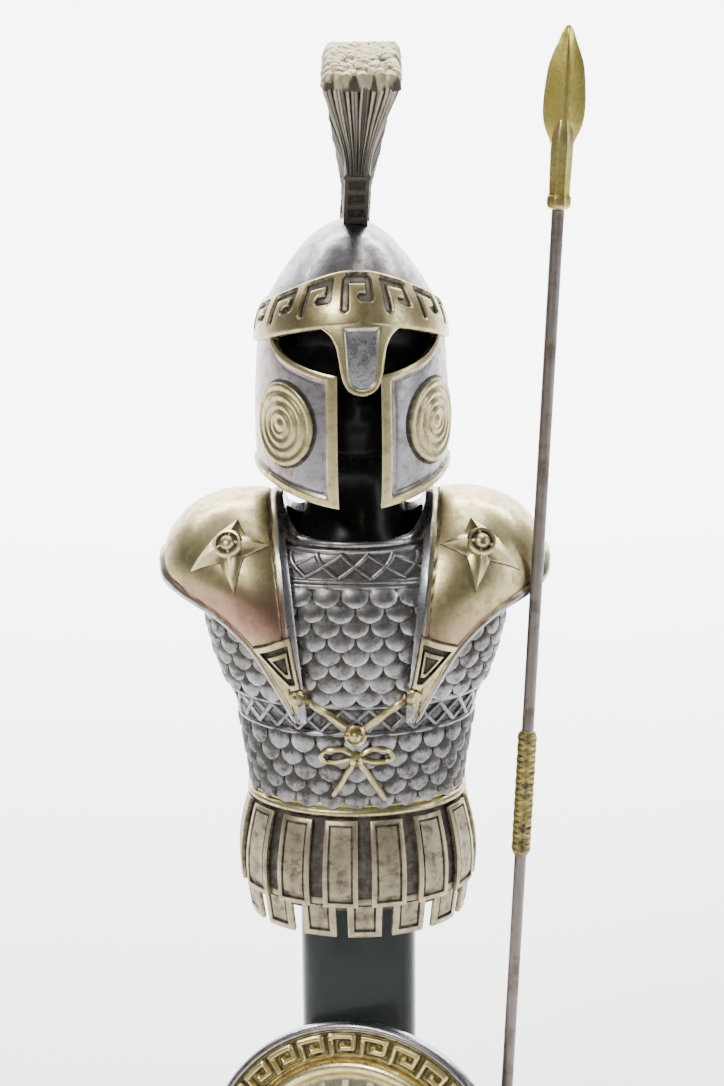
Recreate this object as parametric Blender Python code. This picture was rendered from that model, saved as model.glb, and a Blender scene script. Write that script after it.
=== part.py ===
"""Spartan warrior figurine: helmet and scaled cuirass on a black bust, with spear and shield.

Millimetres are used for every size below; MM turns them into metres when a mesh is made.
The figure faces -Y, +Z is up and the underside of the plinth lies on Z = 0.
Angles round the figure are 0 at the front and grow towards +X.
"""

import math

import bmesh
import bpy
import numpy as np
from mathutils import Matrix, Vector
from mathutils.bvhtree import BVHTree

MM = 0.001

# Clearance left between two separate pieces that rest against each other
GAP = 0.3

# Facets that meet at less than this angle, in degrees, are made into one
FLAT_ANGLE = 2.5

# Plinth: a stepped block of gloss black
PLINTH_WIDTH = 120.0
PLINTH_DEPTH = 100.0
PLINTH_HEIGHT = 10.0
PLINTH_STEP_HEIGHT = 6.2
PLINTH_STEP_INSET = 2.4
PLINTH_CORNER_RADIUS = 5.0
PLINTH_BEVEL = 0.8

# Post that carries the bust
POST_HALF_WIDTH = 13.4
POST_HALF_DEPTH = 10.5
POST_CORNER_POWER = 3.0
POST_TOP_HEIGHT = 140.0
POST_SIDES = 32

# Cuirass: half widths and half depths against height, from the waist up to the shoulders
TORSO_HEIGHTS = (136.0, 141.0, 147.0, 155.0, 160.0, 165.0, 171.0, 178.0, 186.0, 192.0, 196.5, 199.4)
TORSO_HALF_WIDTHS = (24.0, 24.0, 24.9, 26.2, 27.4, 29.6, 31.6, 33.2, 33.6, 30.5, 24.0, 15.4)
TORSO_FRONT_DEPTHS = (18.6, 19.0, 19.7, 20.6, 21.0, 21.3, 21.6, 21.8, 21.0, 19.8, 18.9, 17.8)
TORSO_BACK_DEPTHS = (18.0, 18.2, 18.6, 19.4, 20.0, 20.6, 21.2, 21.6, 21.2, 19.6, 18.0, 16.2)
NECK_SIDE_LIFT = 5.2
NECK_FLAT = 0.7
NECK_BACK_LIFT = 3.0
NECK_LIFT_START = 190.0
NECK_BAR_TOP = 199.4
NECK_BAR_LOW = 197.8
NECK_LATTICE_MIDDLE = 194.2
NECK_LATTICE_LOW = 190.9
CUIRASS_INNER_HEIGHTS = (137.0, 160.0, 178.0, 190.0, 196.5, 199.4)
CUIRASS_WALL = 2.2
SCALE_COUNT = 18
CHEST_TOP = 189.4
CHEST_BOTTOM = 163.4
CHEST_ROWS = 8
BELLY_TOP = 155.4
BELLY_BOTTOM = 138.2
BELLY_ROWS = 5
SCALE_RAISE = 0.95
SCALE_SINK = 0.05
PLAIN_BACK = 0.0
BAR_RAISE = 0.8
LATTICE_RAISE = 0.55
WAIST_RAISE = 1.3
WAIST_LOW = 136.2

# Skirt of framed straps under the waist
SKIRT_HEIGHTS = (108.0, 112.0, 117.0, 122.5, 128.0, 132.0, 136.0)
SKIRT_HALF_WIDTHS = (24.6, 25.2, 25.9, 26.2, 25.6, 24.7, 23.6)
SKIRT_HALF_DEPTHS = (20.6, 21.2, 21.7, 21.8, 21.1, 20.0, 18.4)
SKIRT_WALL = 1.6
SKIRT_TOP = 135.8
SKIRT_MIDDLE = 124.0
SKIRT_EDGE = 114.6
STRAP_COUNT = 16
STRAP_SHARE = 0.78
STRAP_TOP = 135.0
STRAP_BOTTOM = 115.8
STRAP_RAISE = 1.2
STRAP_FRAME = 1.3
STRAP_RECESS = 0.6
TAB_SHARE = 0.86
TAB_TOP = 117.5
TAB_BOTTOM = 107.8
TAB_RAISE = 0.2
TAB_WALL = 2.0

# Shoulder guard: inner edge, two bulge points and outer edge of each cross line, front tip to top
GUARD_LINES = (
    ((11.0, -21.4, 159.6), (11.8, -22.6, 159.4), (12.8, -22.6, 159.6), (13.8, -21.2, 160.4)),
    ((11.8, -22.6, 167.0), (14.0, -24.2, 167.2), (16.6, -23.8, 168.0), (18.8, -20.9, 169.4)),
    ((12.6, -23.2, 175.0), (16.4, -25.0, 175.4), (20.4, -23.9, 176.0), (23.6, -19.9, 176.6)),
    ((13.4, -22.6, 183.0), (18.6, -25.0, 183.8), (25.4, -23.6, 184.0), (30.4, -17.0, 182.4)),
    ((14.2, -20.6, 190.4), (20.6, -23.4, 191.6), (31.4, -22.0, 192.0), (37.6, -13.8, 186.2)),
    ((15.0, -16.8, 197.0), (23.0, -19.2, 199.6), (36.6, -17.4, 199.4), (42.0, -9.6, 188.8)),
    ((15.6, -10.4, 203.0), (25.4, -11.6, 206.4), (39.0, -10.6, 204.6), (43.2, -5.2, 191.4)),
    ((15.9, -3.6, 206.0), (27.0, -3.8, 208.9), (40.0, -3.6, 206.2), (43.4, -1.8, 192.2)),
)
GUARD_WALL = 1.9
GUARD_STEPS_ACROSS = 4
RIM_SHARE = 0.12
RIM_RAISE = 0.5

# Four-pointed star on each shoulder guard
STAR_CENTRE = (28.3, 197.0)
STAR_TIPS = ((10.3, 90.0), (7.6, 0.0), (10.2, -90.0), (9.6, 180.0))
STAR_NOTCH_RADIUS = 3.4
STAR_HEIGHT = 1.9
STAR_BOSS_RADIUS = 3.0
STAR_BOSS_HEIGHT = 2.6

# Studs, brooch, cords, bow and the framed strap ends on the chest
STUD_CENTRE = (12.5, 165.4)
STUD_RADIUS = 1.9
STUD_HEIGHT = 1.7
BROOCH_CENTRE = (-0.2, 155.2)
BROOCH_RADIUS = 2.5
BROOCH_HEIGHT = 2.2
CORD_WIDTH = 1.3
CORD_HEIGHT = 1.1
BOW_KNOT = (-0.1, 151.6)
BOW_LOOP_SPAN = 7.6
BOW_LOOP_TILT = 5.0
BOW_TAIL_ENDS = ((-5.0, 142.2), (6.0, 141.0))
END_PLATE = ((14.4, 179.4), (21.9, 176.8), (13.9, 168.0), (12.5, 168.4))
END_PLATE_HEIGHT = 1.0

# Helmet, in its own frame before it is turned a little to the side
HELMET_CENTRE = (-0.4, 0.0)
HELMET_TURN = 3.9
HELMET_WALL = 1.8
HELMET_HEIGHTS = (
    207.0, 213.0, 219.0, 226.0, 234.0, 241.0, 247.0, 251.0, 254.5, 258.0, 261.0, 263.6, 265.6, 267.0,
)
HELMET_HALF_WIDTHS = (20.2, 21.0, 21.4, 21.4, 21.1, 20.6, 19.4, 17.8, 15.8, 13.4, 11.0, 8.6, 5.8, 2.6)
HELMET_FRONT_DEPTHS = (24.6, 25.2, 25.4, 25.4, 25.2, 24.9, 24.0, 22.6, 20.6, 17.8, 14.8, 11.6, 7.8, 3.4)
HELMET_BACK_DEPTHS = (25.6, 24.6, 24.0, 24.2, 24.6, 24.6, 23.8, 22.4, 20.4, 17.6, 14.6, 11.4, 7.6, 3.4)
HELMET_TOP = 267.5
HELMET_COLUMNS = 32
RIM_FRONT = 208.4
RIM_SIDE = 213.4
RIM_BACK = 209.0
BAND_TOP_FRONT = 258.4
BAND_TOP_SIDE = 249.4
BAND_LOW_FRONT = 247.6
BAND_LOW_SIDE = 241.0
BAND_RAISE = 1.0
KEY_UNITS = 14
KEY_WIDTH = 6.6
KEY_HEIGHT = 5.0
KEY_LINE = 1.5
KEY_DEPTH = 0.6
KEY_BACK_LIMIT = -0.5
FACE_OPENING = (
    (17.6, 243.2), (15.6, 241.0), (12.4, 239.4), (9.0, 238.3), (4.8, 237.4), (4.6, 222.0), (4.6, 200.0),
    (-4.6, 200.0), (-4.6, 222.0), (-4.8, 237.4), (-9.0, 238.3), (-12.4, 239.4), (-15.6, 241.0), (-17.6, 243.2),
    (-15.2, 245.0), (-12.0, 246.2), (-9.0, 246.8), (-7.0, 246.2), (-5.6, 244.2), (-4.9, 241.0), (-4.4, 237.6),
    (-3.5, 235.0), (-1.9, 233.6), (0.0, 233.2), (1.9, 233.6), (3.5, 235.0), (4.4, 237.6), (4.9, 241.0),
    (5.6, 244.2), (7.0, 246.2), (9.0, 246.8), (12.0, 246.2), (15.2, 245.0),
)
NASAL_LINES = ((249.4, 7.6), (247.2, 7.2), (244.2, 6.2), (241.0, 5.4), (237.6, 4.8), (235.0, 3.9), (233.9, 2.4))
BORDER_RAISE = 0.6
BORDER_PAIRS = (
    ((18.6, 243.8), (18.6, 241.0)), ((15.4, 241.8), (15.8, 239.1)), ((12.2, 240.2), (12.6, 237.6)),
    ((8.8, 239.2), (9.3, 236.4)), ((4.0, 238.2), (7.5, 234.6)), ((4.0, 224.0), (7.5, 224.0)),
    ((4.0, 208.8), (7.5, 212.4)),
)
CHEEK_DISC_ANGLE = 56.0
CHEEK_DISC_HEIGHT = 225.8
CHEEK_DISC_RADIUS = 9.1
CHEEK_RINGS = ((9.1, 0.3), (8.2, 1.1), (6.2, 0.6), (4.6, 1.3), (2.6, 0.8))

# Crest: a raised comb that runs from front to back over the helmet
CREST_CENTRE = (3.0, 250.0)
CREST_SIDE = 0.6
CREST_FOOT = 262.0
CREST_SIDE_LEAN = 2.6
CREST_START = -25.0
CREST_END = 104.0
CREST_STATIONS = 18
CREST_COMB_HALF_WIDTH = 2.7
CREST_COMB_OUTER = 30.5
CREST_HAIR_TOP = 53.4
CREST_HAIR_TAIL = 40.0
CREST_FLARE = ((0.0, 2.3), (0.3, 3.2), (0.6, 5.6), (0.93, 7.6), (1.0, 6.9))
CREST_RIB = 0.45

# Bust inside the helmet and the cuirass: height, half width, front depth, back depth
BUST_NECK = (
    (199.6, 11.8, 14.0, 12.2), (203.4, 11.2, 12.0, 11.4), (208.0, 9.9, 10.6, 10.8), (213.0, 9.5, 10.8, 11.4),
    (216.0, 10.2, 13.0, 13.0), (218.6, 11.8, 17.6, 15.4), (223.0, 14.4, 19.4, 17.8), (229.0, 16.2, 20.4, 20.0),
    (236.0, 17.2, 20.6, 21.0), (243.0, 17.0, 20.8, 21.0), (249.0, 15.6, 19.2, 19.4), (254.5, 12.6, 16.4, 16.6),
    (259.0, 9.0, 12.6, 12.6), (262.4, 5.0, 7.2, 7.2),
)
BUST_TOP = 264.4
BUST_TRUNK_HEIGHTS = (150.0, 160.0, 171.0, 180.0, 187.0, 192.0)
BUST_TURN_START = 203.0
BUST_TURN_REACH = 12.0
NOSE_LOW = 218.0
NOSE_HIGH = 246.0
NOSE_HALF_WIDTH = 4.2
NOSE_DEPTH = 1.6
BUST_COLUMNS = 16
BUST_GAP = 2.8

# Shield: radius against height of its front face, from the rim to the boss
SHIELD_RADIUS = 37.4
SHIELD_TURN = 16.5
SHIELD_LEAN = 11.3
SHIELD_PROFILE = (
    (37.4, 0.0), (37.0, 1.6), (35.5, 1.8), (35.1, 2.4), (30.1, 3.2), (29.5, 2.4), (27.0, 3.6), (25.0, 2.8),
    (13.0, 5.2), (8.0, 7.2),
)
SHIELD_APEX = 9.4
SHIELD_BACK = ((34.8, -1.2), (18.0, 1.2))
SHIELD_BACK_APEX = 2.6
SHIELD_SIDES = 32
SHIELD_BODY_X = -1.1
SHIELD_STEP = 0.05
SHIELD_KEYS = 16
SHIELD_KEY_LENGTH = 6.4
SHIELD_KEY_WIDTH = 2.9
SHIELD_KEY_LINE = 0.9
SHIELD_KEY_DEPTH = 0.6

# Spear: it stands in a blind hole of the plinth and leans on the right shoulder guard
SPEAR_BASE_X = 31.2
SPEAR_TIP_X = 45.3
SPEAR_BASE_Y = -17.0
SPEAR_TIP_HEIGHT = 308.6
SPEAR_TIP_START_Y = -6.0
SPEAR_HOLE_DEPTH = 6.0
SPEAR_SHAFT_RADIUS = 1.35
SPEAR_HEAD_LENGTH = 38.0
SPEAR_GRIP_FROM = 125.5
SPEAR_GRIP_TO = 155.0
SPEAR_GRIP_RADIUS = 2.4
SPEAR_SECTIONS = (
    (0.0, 2.4, 2.4), (0.6, 2.6, 2.6), (2.6, 2.6, 2.6), (3.0, 2.3, 2.3), (13.4, 2.6, 2.5), (16.5, 3.8, 2.2),
    (19.5, 4.5, 1.8), (24.6, 4.4, 1.5), (29.7, 3.7, 1.2), (34.8, 1.9, 0.8),
)


# Finishes

def finish(name, colour, roughness, metallic):
    """Return the Principled material of one finish."""
    material = bpy.data.materials.new(name)
    material.use_nodes = True
    shader = material.node_tree.nodes["Principled BSDF"]
    shader.inputs["Base Color"].default_value = (*colour, 1.0)
    shader.inputs["Roughness"].default_value = roughness
    shader.inputs["Metallic"].default_value = metallic
    return material


# Mesh helpers

def add_object(name, points, faces, material=None):
    """Return an object made of points in millimetres and of faces, its normals outward."""
    mesh = bpy.data.meshes.new(name)
    mesh.from_pydata([tuple(MM * c for c in point) for point in points], [], [list(f) for f in faces])
    editable = bmesh.new()
    editable.from_mesh(mesh)
    bmesh.ops.triangulate(editable, faces=editable.faces)
    bmesh.ops.recalc_face_normals(editable, faces=editable.faces)
    if editable.calc_volume(signed=True) < 0:
        bmesh.ops.reverse_faces(editable, faces=editable.faces)
    editable.to_mesh(mesh)
    editable.free()
    item = bpy.data.objects.new(name, mesh)
    bpy.context.scene.collection.objects.link(item)
    if material is not None:
        mesh.materials.append(material)
    return item


def combine(base, other, operation, overlapping=False):
    """Change base by an exact Boolean with other, and take other away."""
    modifier = base.modifiers.new("combine", "BOOLEAN")
    modifier.operation = operation
    modifier.solver = "EXACT"
    modifier.use_self = overlapping
    modifier.object = other
    bpy.context.view_layer.update()
    graph = bpy.context.evaluated_depsgraph_get()
    mesh = bpy.data.meshes.new_from_object(base.evaluated_get(graph))
    base.modifiers.clear()
    base.data = mesh
    bpy.data.objects.remove(other, do_unlink=True)
    return base


def joined(name, items):
    """Return one object that holds the meshes of all items."""
    points = []
    faces = []
    for item in items:
        start = len(points)
        points.extend(tuple(c / MM for c in item.matrix_world @ v.co) for v in item.data.vertices)
        faces.extend([start + i for i in polygon.vertices] for polygon in item.data.polygons)
        bpy.data.objects.remove(item, do_unlink=True)
    return add_object(name, points, faces)


def tidy(item, material, smooth_angle=None):
    """Merge doubled points of a finished piece and give it its finish and shading."""
    editable = bmesh.new()
    editable.from_mesh(item.data)
    bmesh.ops.remove_doubles(editable, verts=editable.verts, dist=0.00001)
    bmesh.ops.dissolve_degenerate(editable, edges=editable.edges, dist=0.00001)
    bmesh.ops.dissolve_limit(
        editable, angle_limit=math.radians(FLAT_ANGLE), verts=editable.verts, edges=editable.edges,
    )
    bmesh.ops.triangulate(editable, faces=editable.faces)
    editable.to_mesh(item.data)
    editable.free()
    item.data.materials.clear()
    item.data.materials.append(material)
    if smooth_angle is not None:
        item.data.shade_smooth()
        item.data.set_sharp_from_angle(angle=math.radians(smooth_angle))
    return item


def closed_rings(rings, top=None, bottom=None):
    """Return points and faces of stacked closed rings with the ends closed by a point or a face."""
    count = len(rings[0])
    points = [p for ring in rings for p in ring]
    faces = []
    for row in range(len(rings) - 1):
        for i in range(count):
            j = (i + 1) % count
            faces.append((row * count + i, row * count + j, (row + 1) * count + j, (row + 1) * count + i))
    first = list(range(count))
    last = [(len(rings) - 1) * count + i for i in range(count)]
    for ends, point in ((first, top), (last, bottom)):
        if point is None:
            faces.append(ends)
        else:
            points.append(point)
            tip = len(points) - 1
            faces.extend((ends[i], ends[(i + 1) % count], tip) for i in range(count))
    return points, faces


def slab(outer, inner):
    """Return points and faces of a closed slab between two open grids of equal size."""
    rows = len(outer)
    columns = len(outer[0])
    points = [p for row in outer for p in row] + [p for row in inner for p in row]
    shift = rows * columns
    faces = []
    for r in range(rows - 1):
        for c in range(columns - 1):
            a = r * columns + c
            quad = (a, a + 1, a + columns + 1, a + columns)
            faces.append(quad)
            faces.append(tuple(shift + i for i in reversed(quad)))
    edge = [c for c in range(columns)]
    edge += [r * columns + columns - 1 for r in range(1, rows)]
    edge += [(rows - 1) * columns + c for c in range(columns - 2, -1, -1)]
    edge += [r * columns for r in range(rows - 2, 0, -1)]
    for k, a in enumerate(edge):
        b = edge[(k + 1) % len(edge)]
        faces.append((a, b, shift + b, shift + a))
    return points, faces


def even_angles(count, half_width, half_depth):
    """Return angles that divide an ellipse into parts of equal length, the first at the front."""
    fine = np.linspace(0.0, 2 * math.pi, 2881)
    x = half_width * np.sin(fine)
    y = -half_depth * np.cos(fine)
    length = np.concatenate(([0.0], np.cumsum(np.hypot(np.diff(x), np.diff(y)))))
    return np.interp(np.linspace(0.0, length[-1], count + 1)[:-1], length, fine)


# Surfaces of the body, each a point for an angle, a height and an offset outwards

def ellipse_point(angle, half_width, front, back, height, offset=0.0, lift=0.0):
    """Return the point of an egg-shaped section, moved out along its own normal."""
    s = math.sin(angle)
    c = math.cos(angle)
    depth = front if c > 0 else back
    nx = s / half_width
    ny = -c / depth
    size = math.hypot(nx, ny)
    x = half_width * s + offset * nx / size
    y = -depth * c + offset * ny / size
    return (x, y, height + lift)


def torso_point(angle, height, offset=0.0):
    """Return a point of the cuirass between the waist and the neck line."""
    half_width = float(np.interp(height, TORSO_HEIGHTS, TORSO_HALF_WIDTHS))
    front = float(np.interp(height, TORSO_HEIGHTS, TORSO_FRONT_DEPTHS))
    back = float(np.interp(height, TORSO_HEIGHTS, TORSO_BACK_DEPTHS))
    top = TORSO_HEIGHTS[-1]
    share = max(0.0, (height - NECK_LIFT_START) / (top - NECK_LIFT_START))
    lift = NECK_SIDE_LIFT * share * max(0.0, (abs(math.sin(angle)) - NECK_FLAT) / (1 - NECK_FLAT)) ** 2
    if math.cos(angle) < 0:
        lift += NECK_BACK_LIFT * share * math.cos(angle) ** 2
    return ellipse_point(angle, half_width, front, back, height, offset, lift)


def skirt_point(angle, height, offset=0.0):
    """Return a point of the skirt of straps."""
    half_width = float(np.interp(height, SKIRT_HEIGHTS, SKIRT_HALF_WIDTHS))
    depth = float(np.interp(height, SKIRT_HEIGHTS, SKIRT_HALF_DEPTHS))
    return ellipse_point(angle, half_width, depth, depth, height, offset)


def helmet_point(angle, height, offset=0.0):
    """Return a point of the helmet in its own frame."""
    half_width = float(np.interp(height, HELMET_HEIGHTS, HELMET_HALF_WIDTHS))
    front = float(np.interp(height, HELMET_HEIGHTS, HELMET_FRONT_DEPTHS))
    back = float(np.interp(height, HELMET_HEIGHTS, HELMET_BACK_DEPTHS))
    step = 0.5
    wider = float(np.interp(height - step, HELMET_HEIGHTS, HELMET_HALF_WIDTHS))
    narrower = float(np.interp(height + step, HELMET_HEIGHTS, HELMET_HALF_WIDTHS))
    slope = math.atan2(max(wider - narrower, 0.0), 2 * step)
    level = offset * math.cos(slope)
    return ellipse_point(angle, half_width, front, back, height, level, offset * math.sin(slope))


def helmet_rim(angle):
    """Return the height of the helmet's lower edge at an angle."""
    side = math.sin(angle) ** 2
    end = RIM_FRONT if math.cos(angle) > 0 else RIM_BACK
    return end + (RIM_SIDE - end) * side


def band_edge(angle, front, side):
    """Return the height of an edge of the brow band, which rises in an arch over the brow."""
    return side + (front - side) * max(0.0, math.cos(angle)) ** 1.3


def helmet_front(x, height, offset=0.0):
    """Return the point of the helmet's front half at a sideways distance x."""
    half_width = float(np.interp(height, HELMET_HEIGHTS, HELMET_HALF_WIDTHS))
    angle = math.asin(max(-0.985, min(0.985, x / half_width)))
    return helmet_point(angle, height, offset)


# Plinth and post

def build_plinth(material, spear_hole):
    """Return the stepped plinth with the blind hole that the spear stands in."""
    def outline(inset, height):
        half_x = PLINTH_WIDTH / 2 - inset
        half_y = PLINTH_DEPTH / 2 - inset
        radius = max(PLINTH_CORNER_RADIUS - inset, 0.8)
        ring = []
        for corner, (sx, sy) in enumerate(((1, 1), (-1, 1), (-1, -1), (1, -1))):
            for k in range(4):
                turn = math.radians(90 * corner + 30 * k)
                x = sx * (half_x - radius) + radius * math.cos(turn)
                y = sy * (half_y - radius) + radius * math.sin(turn)
                ring.append((x, y, height))
        return ring

    rings = [
        outline(0.0, 0.0),
        outline(0.0, PLINTH_STEP_HEIGHT - PLINTH_BEVEL),
        outline(PLINTH_BEVEL, PLINTH_STEP_HEIGHT),
        outline(PLINTH_STEP_INSET, PLINTH_STEP_HEIGHT),
        outline(PLINTH_STEP_INSET, PLINTH_HEIGHT - PLINTH_BEVEL),
        outline(PLINTH_STEP_INSET + PLINTH_BEVEL, PLINTH_HEIGHT),
    ]
    points, faces = closed_rings(rings)
    item = add_object("plinth", points, faces)
    combine(item, spear_hole, "DIFFERENCE")
    return tidy(item, material, 35)


def build_post(material):
    """Return the upright post with softly rounded corners."""
    def ring(height, inset=0.0):
        power = 2 / POST_CORNER_POWER
        result = []
        for i in range(POST_SIDES):
            turn = 2 * math.pi * i / POST_SIDES
            s = math.sin(turn)
            c = math.cos(turn)
            x = (POST_HALF_WIDTH - inset) * math.copysign(abs(s) ** power, s)
            y = -(POST_HALF_DEPTH - inset) * math.copysign(abs(c) ** power, c)
            result.append((x, y, height))
        return result

    low = PLINTH_HEIGHT + GAP
    rings = [ring(low), ring(POST_TOP_HEIGHT - 0.6), ring(POST_TOP_HEIGHT, 0.6)]
    points, faces = closed_rings(rings)
    return tidy(add_object("post", points, faces), material, 35)


# Bust

def build_bust(material):
    """Return the black bust: a plain head, a neck and a trunk that fills the cuirass."""
    angles = even_angles(BUST_COLUMNS, 20.0, 18.0)
    wall = -(CUIRASS_WALL + BUST_GAP)
    rings = []
    for height in (POST_TOP_HEIGHT + GAP, *BUST_TRUNK_HEIGHTS):
        rings.append([torso_point(a, height, wall - 0.2) for a in angles])
    turn = math.radians(HELMET_TURN)
    for height, half_width, front, back in BUST_NECK:
        share = min(1.0, max(0.0, (height - BUST_TURN_START) / BUST_TURN_REACH))
        ring = []
        for a in angles:
            x, y, z = ellipse_point(a, half_width, front, back, height)
            if NOSE_LOW < height < NOSE_HIGH:
                rise = math.sin(math.pi * (height - NOSE_LOW) / (NOSE_HIGH - NOSE_LOW))
                y -= NOSE_DEPTH * max(0.0, 1 - abs(x) / NOSE_HALF_WIDTH) * rise
            c = math.cos(turn * share)
            s = math.sin(turn * share)
            ring.append((x * c - y * s + HELMET_CENTRE[0] * share, x * s + y * c, z))
        rings.append(ring)
    points, faces = closed_rings(rings, bottom=(HELMET_CENTRE[0], 0.0, BUST_TOP))
    return tidy(add_object("bust", points, faces), material, 50)


# Cuirass

def scale_rows(angles, top, bottom, rows, phase):
    """Return one ring for each row of scales, every other point standing out as a scale."""
    pitch = (top - bottom) / rows
    rings = []
    for row in range(rows):
        height = top - pitch * (row + 0.6)
        ring = []
        for i, angle in enumerate(angles):
            raised = (i + row + phase) % 2 == 0
            ring.append(torso_point(angle, height, SCALE_RAISE if raised else -SCALE_SINK))
        rings.append(ring)
    return rings


def build_torso():
    """Return the scaled trunk of the cuirass, open at the neck and at the hem."""
    angles = even_angles(2 * SCALE_COUNT, 30.0, 21.0)
    angles = [a for i, a in enumerate(angles) if math.cos(a) > PLAIN_BACK or i % 2 == 0]
    count = len(angles) - len(angles) % 2
    angles = angles[:count]

    def ring(height, offset):
        return [torso_point(a, height, offset) for a in angles]

    def lattice(height):
        return [torso_point(a, height, LATTICE_RAISE if i % 2 else -0.1) for i, a in enumerate(angles)]

    rings = [ring(NECK_BAR_TOP, BAR_RAISE), ring(NECK_BAR_LOW, BAR_RAISE), lattice(NECK_LATTICE_MIDDLE)]
    rings += [ring(NECK_LATTICE_LOW, BAR_RAISE), ring(CHEST_TOP, BAR_RAISE)]
    rings += scale_rows(angles, CHEST_TOP, CHEST_BOTTOM, CHEST_ROWS, 0)
    middle = (CHEST_BOTTOM + BELLY_TOP) / 2
    rings.append(ring(CHEST_BOTTOM - 0.8, BAR_RAISE))
    rings.append(lattice(middle))
    rings.append(ring(BELLY_TOP + 0.8, BAR_RAISE))
    rings += scale_rows(angles, BELLY_TOP, BELLY_BOTTOM, BELLY_ROWS, 1)
    rings += [ring(BELLY_BOTTOM - 0.3, WAIST_RAISE), ring(WAIST_LOW, WAIST_RAISE)]
    half = count // 2
    inner = [[skirt_point(a, h) for a in angles[::2]] for h in (SKIRT_TOP, SKIRT_MIDDLE, SKIRT_EDGE)]
    inner += [[skirt_point(a, h, -SKIRT_WALL) for a in angles[::2]] for h in (SKIRT_EDGE, SKIRT_MIDDLE)]
    inner += [[torso_point(a, h, -CUIRASS_WALL) for a in angles[::2]] for h in CUIRASS_INNER_HEIGHTS]
    points = [p for r in rings + inner for p in r]
    faces = []
    for row in range(len(rings) - 1):
        for i in range(count):
            j = (i + 1) % count
            faces.append((row * count + i, row * count + j, (row + 1) * count + j, (row + 1) * count + i))
    start = len(rings) * count
    for row in range(len(inner) - 1):
        for i in range(half):
            j = (i + 1) % half
            a = start + row * half
            faces.append((a + i, a + j, a + half + j, a + half + i))
    for outer_row, inner_row in (((len(rings) - 1) * count, start), (0, start + (len(inner) - 1) * half)):
        for i in range(half):
            j = (i + 1) % half
            a = outer_row + 2 * i
            b = outer_row + 2 * i + 1
            c = outer_row + (2 * i + 2) % count
            faces.append((a, b, inner_row + i))
            faces.append((b, c, inner_row + j, inner_row + i))
    return add_object("cuirass", points, faces)


def plate(surface, middle, half_angle, high, low, raise_by, wall, frame=0.0, recess=0.0):
    """Return a strap end on a surface, with a raised frame round a sunk panel if frame is given."""
    reach = surface(middle, (high + low) / 2)
    inset = frame / math.hypot(reach[0], reach[1])
    edges = (middle - half_angle, middle + half_angle)
    loops = [[(edges[0], high), (edges[1], high), (edges[1], low), (edges[0], low)]]
    loops.append([
        (edges[0] + inset, high - frame), (edges[1] - inset, high - frame),
        (edges[1] - inset, low + frame), (edges[0] + inset, low + frame),
    ])
    rings = [[surface(a, z, raise_by - wall) for a, z in loops[0]]]
    rings.append([surface(a, z, raise_by) for a, z in loops[0]])
    if frame:
        rings.append([surface(a, z, raise_by) for a, z in loops[1]])
        rings.append([surface(a, z, raise_by - recess) for a, z in loops[1]])
    points, faces = closed_rings(rings)
    return add_object("plate", points, faces)


def build_skirt():
    """Return the two staggered rows of framed straps."""
    items = []
    angles = even_angles(2 * STRAP_COUNT, 26.0, 21.6)
    turn = 2 * math.pi / STRAP_COUNT
    for i in range(STRAP_COUNT):
        upper = angles[2 * i]
        near = abs(angles[(2 * i + 1) % (2 * STRAP_COUNT)] - angles[2 * i - 1])
        span = min(near, 2 * math.pi - near, 1.3 * turn)
        items.append(plate(skirt_point, upper, span * STRAP_SHARE / 2, STRAP_TOP, STRAP_BOTTOM,
                           STRAP_RAISE, STRAP_RAISE + 0.8, STRAP_FRAME, STRAP_RECESS))
        lower = angles[2 * i + 1]
        near = abs(angles[(2 * i + 2) % (2 * STRAP_COUNT)] - angles[2 * i])
        span = min(near, 2 * math.pi - near, 1.3 * turn)
        items.append(plate(skirt_point, lower, span * TAB_SHARE / 2, TAB_TOP, TAB_BOTTOM,
                           TAB_RAISE, TAB_WALL))
    return items


def cross_point(line, share):
    """Return the point at a share of the way along one cross line of the shoulder guard."""
    a, b, c, d = (np.array(p) for p in line)
    u = share
    v = 1 - share
    return v ** 3 * a + 3 * v * v * u * b + 3 * v * u * u * c + u ** 3 * d


def build_guard(side):
    """Return one shoulder guard, draped over the shoulder from the chest to the back."""
    lines = list(GUARD_LINES)
    lines += [tuple((x, -y, z) for x, y, z in line) for line in GUARD_LINES[::-2]]
    shares = [0.0] + [float(s) for s in np.linspace(RIM_SHARE, 1 - RIM_SHARE, GUARD_STEPS_ACROSS)] + [1.0]
    raises = [RIM_RAISE] + [0.0] * (len(shares) - 2) + [RIM_RAISE]
    grid = np.array([[cross_point(line, s) for s in shares] for line in lines])
    along = np.gradient(grid, axis=0)
    across = np.gradient(grid, axis=1)
    normal = np.cross(along, across)
    normal /= np.linalg.norm(normal, axis=2)[:, :, None]
    centre = np.array((20.0, 0.0, 180.0))
    flip = np.sign((normal * (grid - centre)).sum(axis=2))
    normal *= flip[:, :, None]
    outer = grid + normal * np.array(raises)[None, :, None]
    inner = grid - normal * GUARD_WALL
    mirror = np.array((side, 1.0, 1.0))
    points, faces = slab([list(r) for r in outer * mirror], [list(r) for r in inner * mirror])
    return add_object("guard", points, faces)


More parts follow.
